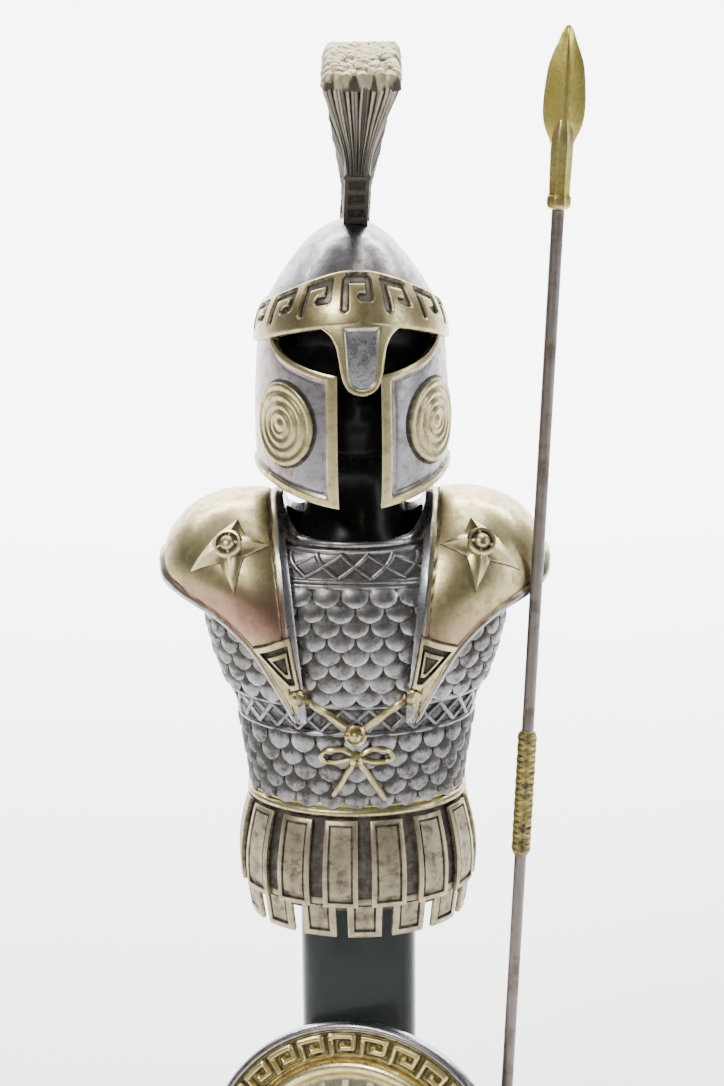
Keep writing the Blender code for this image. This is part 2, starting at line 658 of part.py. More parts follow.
class Drape:
    """Lays small raised pieces on a surface that is already there."""

    def __init__(self, item):
        self.tree = BVHTree.FromObject(item, bpy.context.evaluated_depsgraph_get())

    def hit(self, point, away):
        """Return the surface point under a point, looked for against the direction away."""
        start = Vector(point) * MM + away * 0.03
        found = self.tree.ray_cast(start, -away)[0]
        return None if found is None else found / MM

    def frame(self, x, z, around=2.0):
        """Return the origin, right, up and outward directions at a place seen from the front."""
        away = Vector((0.0, -1.0, 0.0))
        centre = self.hit((x, -25.0, z), away)
        left = self.hit((x - around, -25.0, z), away)
        right = self.hit((x + around, -25.0, z), away)
        high = self.hit((x, -25.0, z + around), away)
        low = self.hit((x, -25.0, z - around), away)
        across = (right - left).normalized()
        out = (right - left).cross(high - low).normalized()
        if out.y > 0:
            out = -out
        up = out.cross(across).normalized()
        if up.z < 0:
            up = -up
        return centre, across, up, out

    def solid(self, place, loops, sink=0.7):
        """Return a closed raised piece from loops of (x, y, height), the outermost loop first."""
        centre, across, up, out = place
        levels = []
        base = None
        for loop in loops:
            ring = []
            for x, y, height in loop:
                flat = centre + across * x + up * y
                found = self.hit(flat + out * 6.0, out)
                if found is None or abs((found - flat).dot(out)) > 9.0:
                    found = flat
                ring.append(tuple(found + out * height))
            if base is None:
                base = [tuple(Vector(p) - out * (sink + h[2])) for p, h in zip(ring, loop)]
            levels.append(ring)
        points, faces = closed_rings([base] + levels)
        return add_object("raised", points, faces)


def circle(radius, height, sides, squash=1.0):
    """Return a loop of points round a circle at one height."""
    return [
        (radius * math.cos(2 * math.pi * i / sides), squash * radius * math.sin(2 * math.pi * i / sides), height)
        for i in range(sides)
    ]


def build_star(drape, side):
    """Return the four-pointed star with its ring and dome on one shoulder guard."""
    place = drape.frame(side * STAR_CENTRE[0], STAR_CENTRE[1])
    rim = []
    ridge = []
    tips = sorted(STAR_TIPS, key=lambda tip: tip[1])
    for k, (reach, angle) in enumerate(tips):
        following = tips[(k + 1) % 4]
        turn = math.radians(angle)
        x = math.sin(turn) * reach * side
        y = math.cos(turn) * reach
        rim.append((x, y, 0.25))
        ridge.append((0.34 * x, 0.34 * y, STAR_HEIGHT))
        half = math.radians((angle + (following[1] if following[1] > angle else following[1] + 360)) / 2)
        x = math.sin(half) * STAR_NOTCH_RADIUS * side
        y = math.cos(half) * STAR_NOTCH_RADIUS
        rim.append((x, y, 0.25))
        ridge.append((0.66 * x, 0.66 * y, 0.6 * STAR_HEIGHT))
    star = drape.solid(place, [rim, ridge], 1.2)
    boss = drape.solid(place, [
        circle(STAR_BOSS_RADIUS, STAR_HEIGHT, 10),
        circle(STAR_BOSS_RADIUS * 0.62, STAR_HEIGHT - 0.2, 10),
        circle(STAR_BOSS_RADIUS * 0.28, STAR_BOSS_HEIGHT, 10),
    ], STAR_HEIGHT)
    return [star, boss]


def strip(drape, start, end, width, height):
    """Return a raised straight cord between two places seen from the front."""
    middle = ((start[0] + end[0]) / 2, (start[1] + end[1]) / 2)
    place = drape.frame(*middle)
    dx = end[0] - start[0]
    dy = end[1] - start[1]
    length = math.hypot(dx, dy)
    ux, uy = dx / length, dy / length
    rim = []
    top = []
    steps = 2
    for side in (1, -1):
        order = range(steps + 1) if side > 0 else range(steps, -1, -1)
        for k in order:
            along = (k / steps - 0.5) * length
            rim.append((ux * along - side * uy * width / 2, uy * along + side * ux * width / 2, 0.15))
            top.append((ux * along - side * uy * width / 4, uy * along + side * ux * width / 4, height))
    return drape.solid(place, [rim, top])


def build_trim(drape):
    """Return the strap ends, studs, cords, brooch and bow on the front of the cuirass."""
    items = []
    for side in (-1, 1):
        middle = (side * 15.4, 174.0)
        place = drape.frame(*middle)
        loop = [(side * x - middle[0], z - middle[1]) for x, z in END_PLATE]
        centre = (sum(p[0] for p in loop) / 4, sum(p[1] for p in loop) / 4)
        top = [(centre[0] + 0.8 * (x - centre[0]), centre[1] + 0.8 * (y - centre[1])) for x, y in loop]
        items.append(drape.solid(place, [
            [(x, y, 0.2) for x, y in loop],
            [(x, y, END_PLATE_HEIGHT) for x, y in top],
        ]))
        place = drape.frame(side * STUD_CENTRE[0], STUD_CENTRE[1], 1.0)
        items.append(drape.solid(place, [
            circle(STUD_RADIUS, 0.9, 8),
            circle(STUD_RADIUS * 0.5, STUD_HEIGHT, 8),
        ], 1.2))
        items.append(strip(drape, (side * 11.6, 164.6), (side * 1.4, 156.4), CORD_WIDTH, CORD_HEIGHT))
    place = drape.frame(*BROOCH_CENTRE)
    items.append(drape.solid(place, [
        circle(BROOCH_RADIUS, 1.2, 10),
        circle(BROOCH_RADIUS * 0.7, BROOCH_HEIGHT, 10),
        circle(BROOCH_RADIUS * 0.34, BROOCH_HEIGHT - 0.3, 10),
    ], 1.2))
    place = drape.frame(*BOW_KNOT)
    items.append(drape.solid(place, [circle(1.5, 0.9, 8), circle(0.9, 1.9, 8)], 1.2))
    for side in (-1, 1):
        tilt = math.radians(BOW_LOOP_TILT)
        outer = []
        crest = []
        for i in range(8):
            turn = 2 * math.pi * i / 8
            along = BOW_LOOP_SPAN / 2 * (1 + math.cos(turn)) * side
            wide = 1.7 * math.sin(turn) * (0.6 + 0.4 * math.cos(turn))
            outer.append((along, wide + abs(along) * math.sin(tilt) * 0.3, 0.2))
            crest.append((side * 3.9 + 0.7 * (along - side * 3.9), 0.6 * wide, 1.3))
        items.append(drape.solid(place, [outer, crest], 1.0))
    for end in BOW_TAIL_ENDS:
        items.append(strip(drape, (BOW_KNOT[0], BOW_KNOT[1] - 0.4), end, CORD_WIDTH, CORD_HEIGHT))
    return items


def build_cuirass(material):
    """Return the cuirass: trunk, skirt, shoulder guards and raised trim as one casting."""
    item = build_torso()
    skirt = build_skirt()
    combine(item, joined("skirt", skirt), "UNION", True)
    for side in (-1, 1):
        combine(item, build_guard(side), "UNION")
    drape = Drape(item)
    trim = build_trim(drape)
    for side in (-1, 1):
        trim += build_star(drape, side)
    for piece in trim:
        combine(item, piece, "UNION")
    return tidy(item, material, 32)


# Helmet and crest

def helmet_body(offset, wall):
    """Return the bowl of the helmet, solid or hollow, in its own frame."""
    angles = [2 * math.pi * i / HELMET_COLUMNS for i in range(HELMET_COLUMNS)]
    shares = (0.0, 0.16, 0.36, 0.54, 0.66, 0.76, 0.84, 0.9, 0.95, 0.985)

    def rings(out, start):
        result = []
        for share in shares:
            ring = []
            for a in angles:
                low = helmet_rim(a) + start
                height = low + (HELMET_HEIGHTS[-1] - low) * share
                ring.append(helmet_point(a, height, out))
            result.append(ring)
        return result

    outside = rings(offset, 0.0)
    if wall is None:
        points, faces = closed_rings(outside, bottom=(0.0, 0.0, HELMET_TOP + offset))
        return add_object("bowl", points, faces)
    inside = [ring[::2] for ring in rings(-wall, 0.0)[::2]]
    count = HELMET_COLUMNS
    half = count // 2
    rows = len(outside)
    points = [p for r in outside + inside for p in r]
    start = rows * count
    faces = []
    for base, size, levels, top in ((0, count, rows, offset), (start, half, len(inside), -wall)):
        for row in range(levels - 1):
            for i in range(size):
                j = (i + 1) % size
                a = base + row * size
                faces.append((a + i, a + j, a + size + j, a + size + i))
        tip = len(points)
        points.append((0.0, 0.0, HELMET_TOP + top))
        a = base + (levels - 1) * size
        faces.extend((a + i, a + (i + 1) % size, tip) for i in range(size))
    for i in range(half):
        j = (i + 1) % half
        faces.append((2 * i, 2 * i + 1, start + i))
        faces.append((2 * i + 1, (2 * i + 2) % count, start + j, start + i))
    return add_object("helmet", points, faces)


def brow_band(grow=0.0):
    """Return the raised band that arches over the brow and runs round the helmet, or one larger."""
    angles = [2 * math.pi * (i + 0.5) / HELMET_COLUMNS for i in range(HELMET_COLUMNS)]
    profile = ((0.0, -0.6), (0.0, BAND_RAISE + grow), (1.0, BAND_RAISE + grow), (1.0, -0.6))
    rings = []
    for share, out in profile:
        ring = []
        for a in angles:
            low = band_edge(a, BAND_LOW_FRONT, BAND_LOW_SIDE) - grow
            high = band_edge(a, BAND_TOP_FRONT, BAND_TOP_SIDE) + grow
            ring.append(helmet_point(a, low + (high - low) * share, out))
        rings.append(ring)
    count = HELMET_COLUMNS
    points = [p for r in rings for p in r]
    faces = []
    for row in range(len(rings)):
        following = (row + 1) % len(rings)
        for i in range(count):
            j = (i + 1) % count
            faces.append((row * count + i, row * count + j, following * count + j, following * count + i))
    return add_object("band", points, faces)


def key_cutters():
    """Return the hooks of the key pattern, to be sunk into the brow band."""
    w = KEY_WIDTH / 2
    h = KEY_HEIGHT / 2
    t = KEY_LINE
    hook = ((-w, -h), (-w, h), (w, h), (w, h - t), (-w + t, h - t), (-w + t, -h))
    items = []
    turns = even_angles(KEY_UNITS, 20.0, 24.0)
    for turn in turns:
        if math.cos(turn) < KEY_BACK_LIMIT:
            continue
        low = band_edge(turn, BAND_LOW_FRONT, BAND_LOW_SIDE)
        high = band_edge(turn, BAND_TOP_FRONT, BAND_TOP_SIDE)
        middle = low + 0.6 * (high - low)
        points = []
        for out in (BAND_RAISE + 1.2, BAND_RAISE - KEY_DEPTH):
            for x, z in hook:
                radius = math.hypot(20.2 * math.cos(turn), 24.2 * math.sin(turn))
                angle = turn + x / radius
                tilt = band_edge(angle, BAND_TOP_FRONT, BAND_TOP_SIDE) - high
                points.append(helmet_point(angle, middle + z * (high - low) / 9.4 + tilt, out))
        size = len(hook)
        faces = [list(range(size)), [size + i for i in range(size)]]
        faces += [(i, (i + 1) % size, size + (i + 1) % size, size + i) for i in range(size)]
        items.append(add_object("key", points, faces))
    return items


def cheek_border(side):
    """Return the raised border round one cheek guard."""
    outer = []
    inner = []
    for pair in BORDER_PAIRS:
        outer.append([helmet_front(side * x, z, BORDER_RAISE) for x, z in pair])
        inner.append([helmet_front(side * x, z, -0.6) for x, z in pair])
    for degrees in (24.0, 40.0, 56.0, 72.0, 86.0):
        angle = math.radians(degrees)
        low = helmet_rim(angle) + 0.25
        high = helmet_rim(angle) + 3.4
        outer.append([helmet_point(side * angle, z, BORDER_RAISE) for z in (low, high)])
        inner.append([helmet_point(side * angle, z, -0.6) for z in (low, high)])
    points, faces = slab(outer, inner)
    return add_object("border", points, faces)


def nasal():
    """Return the raised nose guard that hangs from the brow band."""
    outer = []
    inner = []
    for height, half in NASAL_LINES:
        places = (-half, -0.5 * half, 0.5 * half, half)
        raises = (0.6, 1.0, 1.0, 0.6)
        outer.append([helmet_front(x, height, r) for x, r in zip(places, raises)])
        inner.append([helmet_front(x, height, -0.7) for x in places])
    points, faces = slab(outer, inner)
    return add_object("nasal", points, faces)


def cheek_disc(side):
    """Return the ringed disc on one cheek guard."""
    turn = math.radians(CHEEK_DISC_ANGLE)
    half_width = float(np.interp(CHEEK_DISC_HEIGHT, HELMET_HEIGHTS, HELMET_HALF_WIDTHS))
    front = float(np.interp(CHEEK_DISC_HEIGHT, HELMET_HEIGHTS, HELMET_FRONT_DEPTHS))
    radius = math.hypot(half_width * math.cos(turn), front * math.sin(turn))
    sides = 12

    def ring(reach, raise_by):
        result = []
        for i in range(sides):
            a = 2 * math.pi * i / sides
            angle = side * (turn + reach * math.cos(a) / radius)
            result.append(helmet_point(angle, CHEEK_DISC_HEIGHT + reach * math.sin(a), raise_by))
        return result

    rings = [ring(CHEEK_DISC_RADIUS, -0.6)] + [ring(r, h) for r, h in CHEEK_RINGS]
    points, faces = closed_rings(rings, bottom=helmet_point(side * turn, CHEEK_DISC_HEIGHT, 1.5))
    return add_object("disc", points, faces)


def turned(item):
    """Place a piece of the head in the figure: turned a little and set on the neck."""
    item.rotation_euler = (0.0, 0.0, math.radians(HELMET_TURN))
    item.location = (HELMET_CENTRE[0] * MM, HELMET_CENTRE[1] * MM, 0.0)
    return item


def build_helmet(material):
    """Return the helmet with its eye openings, face slot and raised ornament."""
    item = helmet_body(0.0, HELMET_WALL)
    raised = [brow_band(), nasal()]
    for side in (-1, 1):
        raised += [cheek_border(side), cheek_disc(side)]
    combine(item, joined("raised", raised), "UNION", True)
    front = [(x, -45.0, z) for x, z in FACE_OPENING]
    back = [(x, 0.0, z) for x, z in FACE_OPENING]
    size = len(front)
    faces = [list(range(size)), [size + i for i in range(size)]]
    faces += [(i, (i + 1) % size, size + (i + 1) % size, size + i) for i in range(size)]
    combine(item, add_object("opening", front + back, faces), "DIFFERENCE")
    combine(item, joined("keys", key_cutters()), "DIFFERENCE")
    return turned(tidy(item, material, 32))


def build_crest(material):
    """Return the crest: a comb that stands on the helmet and a flared brush of hair."""
    rings = []
    for k in range(CREST_STATIONS):
        share = k / (CREST_STATIONS - 1)
        angle = math.radians(CREST_START + (CREST_END - CREST_START) * share)
        fall = max(0.0, (share - 0.35) / 0.65)
        reach = CREST_HAIR_TOP - (CREST_HAIR_TOP - CREST_HAIR_TAIL) * fall ** 1.6
        rib = CREST_RIB if k % 2 else 0.0
        right = [(8.0, CREST_COMB_HALF_WIDTH), (CREST_COMB_OUTER, CREST_COMB_HALF_WIDTH)]
        for part, half in CREST_FLARE:
            radius = CREST_COMB_OUTER + 0.3 + (reach - rib - CREST_COMB_OUTER - 0.3) * part
            right.append((radius, half * (1 - 0.35 * fall) - rib * min(1.0, 2 * part)))
        section = right + [(radius, -half) for radius, half in reversed(right)]
        ring = []
        for radius, x in section:
            y = CREST_CENTRE[0] + radius * math.sin(angle)
            z = CREST_CENTRE[1] + radius * math.cos(angle)
            lean = (z - CREST_FOOT) * math.tan(math.radians(CREST_SIDE_LEAN))
            ring.append((CREST_SIDE + lean + x, y, z))
        rings.append(ring)
    points, faces = closed_rings(rings)
    item = add_object("crest", points, faces)
    combine(item, turned(helmet_body(GAP, None)), "DIFFERENCE")
    combine(item, turned(brow_band(GAP)), "DIFFERENCE")
    return tidy(item, material, 40)


# Shield

def build_shield(material):
    """Return the round shield, which stands on the plinth and leans on the post."""
    def ring(radius, height):
        result = []
        for i in range(SHIELD_SIDES):
            turn = 2 * math.pi * i / SHIELD_SIDES
            result.append((radius * math.sin(turn), radius * math.cos(turn), height))
        return result

    rings = [ring(r, h) for r, h in SHIELD_BACK[::-1]]
    rings += [ring(SHIELD_RADIUS - 0.6, -1.2)]
    rings += [ring(r, h) for r, h in SHIELD_PROFILE]
    points, faces = closed_rings(rings, top=(0.0, 0.0, SHIELD_BACK_APEX), bottom=(0.0, 0.0, SHIELD_APEX))
    item = add_object("shield", points, faces)
    keys = []
    middle = 32.6
    for i in range(SHIELD_KEYS):
        turn = 2 * math.pi * i / SHIELD_KEYS
        half = SHIELD_KEY_LENGTH / 2
        wide = SHIELD_KEY_WIDTH / 2
        line = SHIELD_KEY_LINE
        hook = ((-half, -wide), (-half, wide), (half, wide), (half, wide - line), (-half + line, wide - line),
                (-half + line, -wide))
        base = []
        for level in (6.0, 2.8 - SHIELD_KEY_DEPTH):
            for x, y in hook:
                angle = turn + x / middle
                base.append(((middle + y) * math.sin(angle), (middle + y) * math.cos(angle), level))
        size = len(hook)
        sides = [(k, (k + 1) % size, size + (k + 1) % size, size + k) for k in range(size)]
        keys.append(add_object("key", base, [list(range(size)), [size + k for k in range(size)]] + sides))
    combine(item, joined("keys", keys), "DIFFERENCE")
    yaw = math.radians(SHIELD_TURN)
    lean = math.radians(SHIELD_LEAN)
    normal = Vector((-math.sin(yaw) * math.cos(lean), -math.cos(yaw) * math.cos(lean), math.sin(lean)))
    right = Vector((math.cos(yaw), -math.sin(yaw), 0.0))
    up = normal.cross(right)
    place = Matrix((right, up, normal)).transposed().to_4x4()
    corners = [place @ v.co for v in item.data.vertices]
    low = min(c.z for c in corners)
    drop = PLINTH_HEIGHT * MM + GAP * MM - low

    def nearness(shift):
        power = POST_CORNER_POWER
        return min(
            (abs((c.x / MM + SHIELD_BODY_X) / POST_HALF_WIDTH) ** power
             + abs(min(0.0, c.y / MM + shift) / POST_HALF_DEPTH) ** power) ** (1 / power)
            for c in corners
        )

    shift = 0.0
    while nearness(shift) < 1 + GAP / POST_HALF_DEPTH:
        shift -= SHIELD_STEP
    item.matrix_world = Matrix.Translation((SHIELD_BODY_X * MM, shift * MM, drop)) @ place
    return tidy(item, material, 32)


# Spear

class Spear:
    """The line that the spear follows, and the pieces that are threaded on it."""

    def __init__(self, rest_item):
        """Lean the line on the front of the right shoulder guard."""
        low = Vector((SPEAR_BASE_X, SPEAR_BASE_Y, PLINTH_HEIGHT - SPEAR_HOLE_DEPTH))
        points = [v.co / MM for v in rest_item.data.vertices]
        near = [p for p in points if p.x > 30.0 and p.y < 0.0 and p.z > 170.0]
        clear = SPEAR_SHAFT_RADIUS + GAP + 0.15
        tip_y = SPEAR_TIP_START_Y
        while True:
            high = Vector((SPEAR_TIP_X, tip_y, SPEAR_TIP_HEIGHT))
            axis = (high - low).normalized()
            if min(((p - low) - axis * (p - low).dot(axis)).length for p in near) >= clear:
                break
            tip_y -= 0.1
        self.low = low
        self.axis = axis
        self.length = (high - low).length
        self.right = Vector((0.0, 1.0, 0.0)).cross(axis).normalized()
        self.front = axis.cross(self.right).normalized()

    def ring(self, along, wide, deep, sides, start=0.0):
        """Return a ring round the line at a distance from its lower end."""
        result = []
        for i in range(sides):
            turn = 2 * math.pi * i / sides + start
            point = self.low + self.axis * along
            point = point + self.right * (wide * math.sin(turn)) + self.front * (deep * math.cos(turn))
            result.append(tuple(point))
        return result

    def along(self, height):
        """Return the distance from the lower end at which the line reaches a height."""
        return (height - self.low.z) / self.axis.z

    def hole(self):
        """Return the cutter of the blind hole in the plinth."""
        radius = SPEAR_SHAFT_RADIUS + GAP
        rings = [self.ring(-GAP, radius, radius, 10), self.ring(20.0, radius, radius, 10)]
        points, faces = closed_rings(rings)
        return add_object("hole", points, faces)

    def shaft(self, material):
        """Return the thin steel shaft."""
        end = self.length - SPEAR_HEAD_LENGTH - GAP
        radius = SPEAR_SHAFT_RADIUS
        rings = [
            self.ring(0.0, radius, radius, 12),
            self.ring(end, radius, radius, 12),
        ]
        points, faces = closed_rings(rings)
        return tidy(add_object("spear_shaft", points, faces), material, 40)

    def grip(self, material):
        """Return the ribbed sleeve that the hand would hold, bored for the shaft."""
        low = self.along(SPEAR_GRIP_FROM)
        high = self.along(SPEAR_GRIP_TO)
        bore = SPEAR_SHAFT_RADIUS + GAP
        end = SPEAR_GRIP_RADIUS * 0.8
        rings = [self.ring(low, bore, bore, 10), self.ring(low, end, end, 10)]
        ribs = 6
        for k in range(ribs + 1):
            along = low + 0.9 + (high - low - 1.8) * k / ribs
            radius = SPEAR_GRIP_RADIUS - (0.25 if k % 2 else 0.0)
            rings.append(self.ring(along, radius, radius, 10))
        rings += [self.ring(high, end, end, 10), self.ring(high, bore, bore, 10)]
        count = 10
        points = [p for r in rings for p in r]
        faces = []
        for row in range(len(rings)):
            following = (row + 1) % len(rings)
            for i in range(count):
                j = (i + 1) % count
                faces.append((row * count + i, row * count + j, following * count + j, following * count + i))
        return tidy(add_object("spear_grip", points, faces), material, 50)

    def head(self, material):
        """Return the socket and leaf blade."""
        start = self.length - SPEAR_HEAD_LENGTH
        rings = [self.ring(start + h, w, d, 8) for h, w, d in SPEAR_SECTIONS]
        tip = tuple(self.low + self.axis * self.length)
        points, faces = closed_rings(rings, bottom=tip)
        return tidy(add_object("spear_head", points, faces), material, 30)


def main():
    """Build every piece of the figurine."""
    for item in list(bpy.data.objects):
        bpy.data.objects.remove(item, do_unlink=True)
    silver = finish("antique_silver", (0.46, 0.45, 0.44), 0.38, 1.0)
    gold = finish("antique_gold", (0.60, 0.52, 0.30), 0.38, 1.0)
    black = finish("gloss_black", (0.008, 0.009, 0.009), 0.10, 0.0)
    steel = finish("shaft_steel", (0.36, 0.33, 0.31), 0.40, 1.0)
    dark = finish("crest_hair", (0.30, 0.26, 0.19), 0.55, 0.85)
    cuirass = build_cuirass(silver)
    spear = Spear(cuirass)
    build_plinth(black, spear.hole())
    build_post(black)
    build_bust(black)
    build_helmet(silver)
    build_crest(dark)
    build_shield(gold)
    spear.shaft(steel)
    spear.grip(gold)
    spear.head(gold)


main()
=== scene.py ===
"""Spartan warrior figurine, dressed: cast armour on a gloss black bust, with spear and shield.

Sizes are in millimetres and are turned into metres where a mesh is written. Angles round the
figure are 0 at the front (-Y) and grow towards +X.
"""

import logging
import math
from contextlib import contextmanager
from dataclasses import dataclass, field
from enum import Enum
from typing import Callable, Iterator, Optional, Sequence

import bpy
import numpy as np
from mathutils import Matrix, Vector
from mathutils.bvhtree import BVHTree


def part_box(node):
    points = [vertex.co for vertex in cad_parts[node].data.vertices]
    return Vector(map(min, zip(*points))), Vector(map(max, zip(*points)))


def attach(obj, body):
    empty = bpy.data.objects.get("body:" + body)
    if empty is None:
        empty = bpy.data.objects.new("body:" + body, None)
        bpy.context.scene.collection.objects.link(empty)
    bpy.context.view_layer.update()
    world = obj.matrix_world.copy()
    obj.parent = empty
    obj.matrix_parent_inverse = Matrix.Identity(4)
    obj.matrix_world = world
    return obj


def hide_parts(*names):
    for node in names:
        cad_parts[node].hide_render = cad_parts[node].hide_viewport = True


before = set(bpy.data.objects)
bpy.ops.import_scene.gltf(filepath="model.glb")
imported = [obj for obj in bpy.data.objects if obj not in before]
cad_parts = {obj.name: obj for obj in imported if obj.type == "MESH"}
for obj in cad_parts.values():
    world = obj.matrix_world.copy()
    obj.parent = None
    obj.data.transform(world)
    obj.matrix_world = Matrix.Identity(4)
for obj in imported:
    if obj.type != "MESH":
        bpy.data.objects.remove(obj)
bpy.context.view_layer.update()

MM = 0.001
SEED = 20
LOG = logging.getLogger("figurine")

Array = np.ndarray
Colour = tuple[float, float, float]
Layer = Callable[[Array, Array, Array], Array]
Piece = bpy.types.Object


# Shader maths

class Graph:
    """The node tree of one material under construction."""

    def __init__(self, name: str) -> None:
        """Start an empty material of this name."""
        self.material = bpy.data.materials.new(name)
        self.material.use_nodes = True
        self.nodes = self.material.node_tree.nodes
        self.links = self.material.node_tree.links
        self.nodes.clear()
        coordinates = self.nodes.new("ShaderNodeTexCoord")
        self.place = coordinates.outputs["Object"]

    def node(
        self, kind: str, settings: Optional[dict] = None, inputs: Optional[dict] = None
    ) -> bpy.types.Node:
        """Add any node.

        Args:
            kind: The node's type.
            settings: Its settings.
            inputs: Values or links by socket name or number.

        Returns:
            The new node.
        """
        made = self.nodes.new(kind)
        for key, value in (settings or {}).items():
            setattr(made, key, value)
        for key, value in (inputs or {}).items():
            self.feed(value, made.inputs[key])
        return made

    def feed(self, value: object, socket: bpy.types.NodeSocket) -> None:
        """Link a signal or an output to a socket, or set its value."""
        if isinstance(value, Signal):
            self.links.new(value.socket, socket)
        elif isinstance(value, bpy.types.NodeSocket):
            self.links.new(value, socket)
        elif isinstance(value, tuple) and len(value) == 3 and socket.type == "RGBA":
            socket.default_value = (*value, 1.0)
        else:
            socket.default_value = value

    def attribute(self, name: str) -> "Signal":
        """Return the number that the piece stores for each point under a name."""
        made = self.node("ShaderNodeAttribute", {"attribute_name": name, "attribute_type": "GEOMETRY"})
        return Signal(self, made.outputs["Fac"])

    def noise(self, scale: float, detail: float = 3.0, rough: float = 0.55,
              stretch: Optional[tuple[float, float, float]] = None) -> "Signal":
        """Return noise between about 0 and 1, at a scale in waves to the metre."""
        vector = self.place
        if stretch is not None:
            vector = self.node("ShaderNodeMapping", None, {"Vector": self.place, "Scale": stretch}).outputs[0]
        inputs = {"Vector": vector, "Scale": scale, "Detail": detail, "Roughness": rough}
        made = self.node("ShaderNodeTexNoise", {"noise_dimensions": "3D"}, inputs)
        return Signal(self, made.outputs[0])

    def blend(self, first: object, second: object, share: "Signal | float") -> bpy.types.NodeSocket:
        """Return the colour between two colours at a share of the second."""
        made = self.node("ShaderNodeMix", {"data_type": "RGBA", "clamp_factor": True})
        self.feed(share, made.inputs[0])
        self.feed(first, made.inputs[6])
        self.feed(second, made.inputs[7])
        return made.outputs[2]

    def finish(
        self, surface: dict, height: "Optional[Signal]" = None, depth: float = 0.0
    ) -> bpy.types.Material:
        """Close the tree with a Principled shader.

        Args:
            surface: Values or links by socket name.
            height: What the Bump node reads.
            depth: The bump's depth in metres.

        Returns:
            The finished material.
        """
        shader = self.node("ShaderNodeBsdfPrincipled", None, surface)
        if height is not None:
            bump = self.node("ShaderNodeBump", None, {"Height": height, "Strength": 1.0, "Distance": depth})
            self.links.new(bump.outputs[0], shader.inputs["Normal"])
        self.node("ShaderNodeOutputMaterial", None, {"Surface": shader.outputs[0]})
        return self.material


class Signal:
    """A number that runs through a material's nodes and takes part in sums."""

    def __init__(self, graph: Graph, socket: bpy.types.NodeSocket) -> None:
        """Wrap an output socket."""
        self.graph = graph
        self.socket = socket

    def maths(self, operation: str, other: object) -> "Signal":
        """Return the result of a Math node whose first value is this one."""
        made = self.graph.node("ShaderNodeMath", {"operation": operation}, {0: self, 1: other})
        return Signal(self.graph, made.outputs[0])

    def __add__(self, other: object) -> "Signal":
        """Add."""
        return self.maths("ADD", other)

    __radd__ = __add__

    def __mul__(self, other: object) -> "Signal":
        """Multiply."""
        return self.maths("MULTIPLY", other)

    __rmul__ = __mul__

    def __sub__(self, other: object) -> "Signal":
        """Subtract."""
        return self.maths("SUBTRACT", other)

    def __rsub__(self, other: float) -> "Signal":
        """Subtract this from a number."""
        return self.maths("MULTIPLY", -1.0) + other

    def step(self, low: float, high: float) -> "Signal":
        """Return 0 below low, 1 above high and a smooth rise between."""
        made = self.graph.node(
            "ShaderNodeMapRange", {"interpolation_type": "SMOOTHSTEP"},
            {"Value": self, "From Min": low, "From Max": high},
        )
        return Signal(self.graph, made.outputs[0])


# Finishes

@dataclass(frozen=True)
class CastMetal:
    """Antiqued plate on a casting: silver or gold by the piece's gilt, dark in its hollows and where painted
    shade is stored, bright where rubbed and where painted light is stored, with a painted brown reflection
    where asked.
    """

    name: str
    silver: Colour = (0.27, 0.28, 0.31)
    silver_warm: Colour = (0.21, 0.18, 0.165)
    gold: Colour = (0.50, 0.425, 0.215)
    gold_dull: Colour = (0.33, 0.27, 0.14)
    reflection_brown: Colour = (0.29, 0.165, 0.115)
    patina: Colour = (0.040, 0.036, 0.032)
    silver_worn_and_lit: Colour = (0.74, 0.74, 0.74)
    gold_worn_and_lit: Colour = (0.80, 0.71, 0.42)
    silver_rough: float = 0.30
    gold_rough: float = 0.33
    grain: float = 0.00006
    tarnish: float = 0.5

    def material(self) -> bpy.types.Material:
        """Return the finish as a material."""
        graph = Graph(self.name)
        gilt = graph.attribute("gilt")
        patina_and_shade = graph.attribute("patina_and_shade")
        worn_and_lit = graph.attribute("worn_and_lit")
        painted_reflection = graph.attribute("painted_reflection")
        broad = graph.noise(55.0, 3.0)
        fine = graph.noise(420.0, 4.0, 0.65)
        specks = graph.noise(1500.0, 2.0, 0.6)
        cloud = (broad * 0.5 + fine * 0.5).step(0.40, 0.62)
        silver = graph.blend(self.silver, self.silver_warm, cloud)
        gold = graph.blend(self.gold, self.gold_dull, cloud * 0.8)
        # Painted reflection: a brown tint stands for a brown thing reflected in the plate, where a piece asks
        # for it.
        plate = graph.blend(graph.blend(silver, gold, gilt), self.reflection_brown, painted_reflection * (broad * 0.5 + 0.75))
        # Rubbed places and painted light: where a piece stores it, the plate is lifted to a bright tone.
        bright = graph.blend(self.silver_worn_and_lit, self.gold_worn_and_lit, gilt)
        plate = graph.blend(plate, bright, worn_and_lit * 0.75)
        grime = fine.step(0.47, 0.68) * (0.5 * self.tarnish)
        grime = grime + specks.step(0.58, 0.74) * (0.55 * self.tarnish)
        # Patina in the hollows, painted shade where a piece stores it, and grime.
        patina_grime_and_shade = (patina_and_shade * (fine * 0.8 + 0.65)).step(0.12, 0.85) * 0.92 + grime
        colour = graph.blend(plate, self.patina, patina_grime_and_shade)
        rough = gilt * (self.gold_rough - self.silver_rough) + self.silver_rough + fine * 0.16 - 0.08
        rough = rough + patina_grime_and_shade * 0.28 - worn_and_lit * 0.05
        metal = 1.0 - patina_grime_and_shade * 0.35
        relief = fine * 0.6 + specks * 0.4
        return graph.finish({"Base Color": colour, "Roughness": rough, "Metallic": metal}, relief, self.grain)


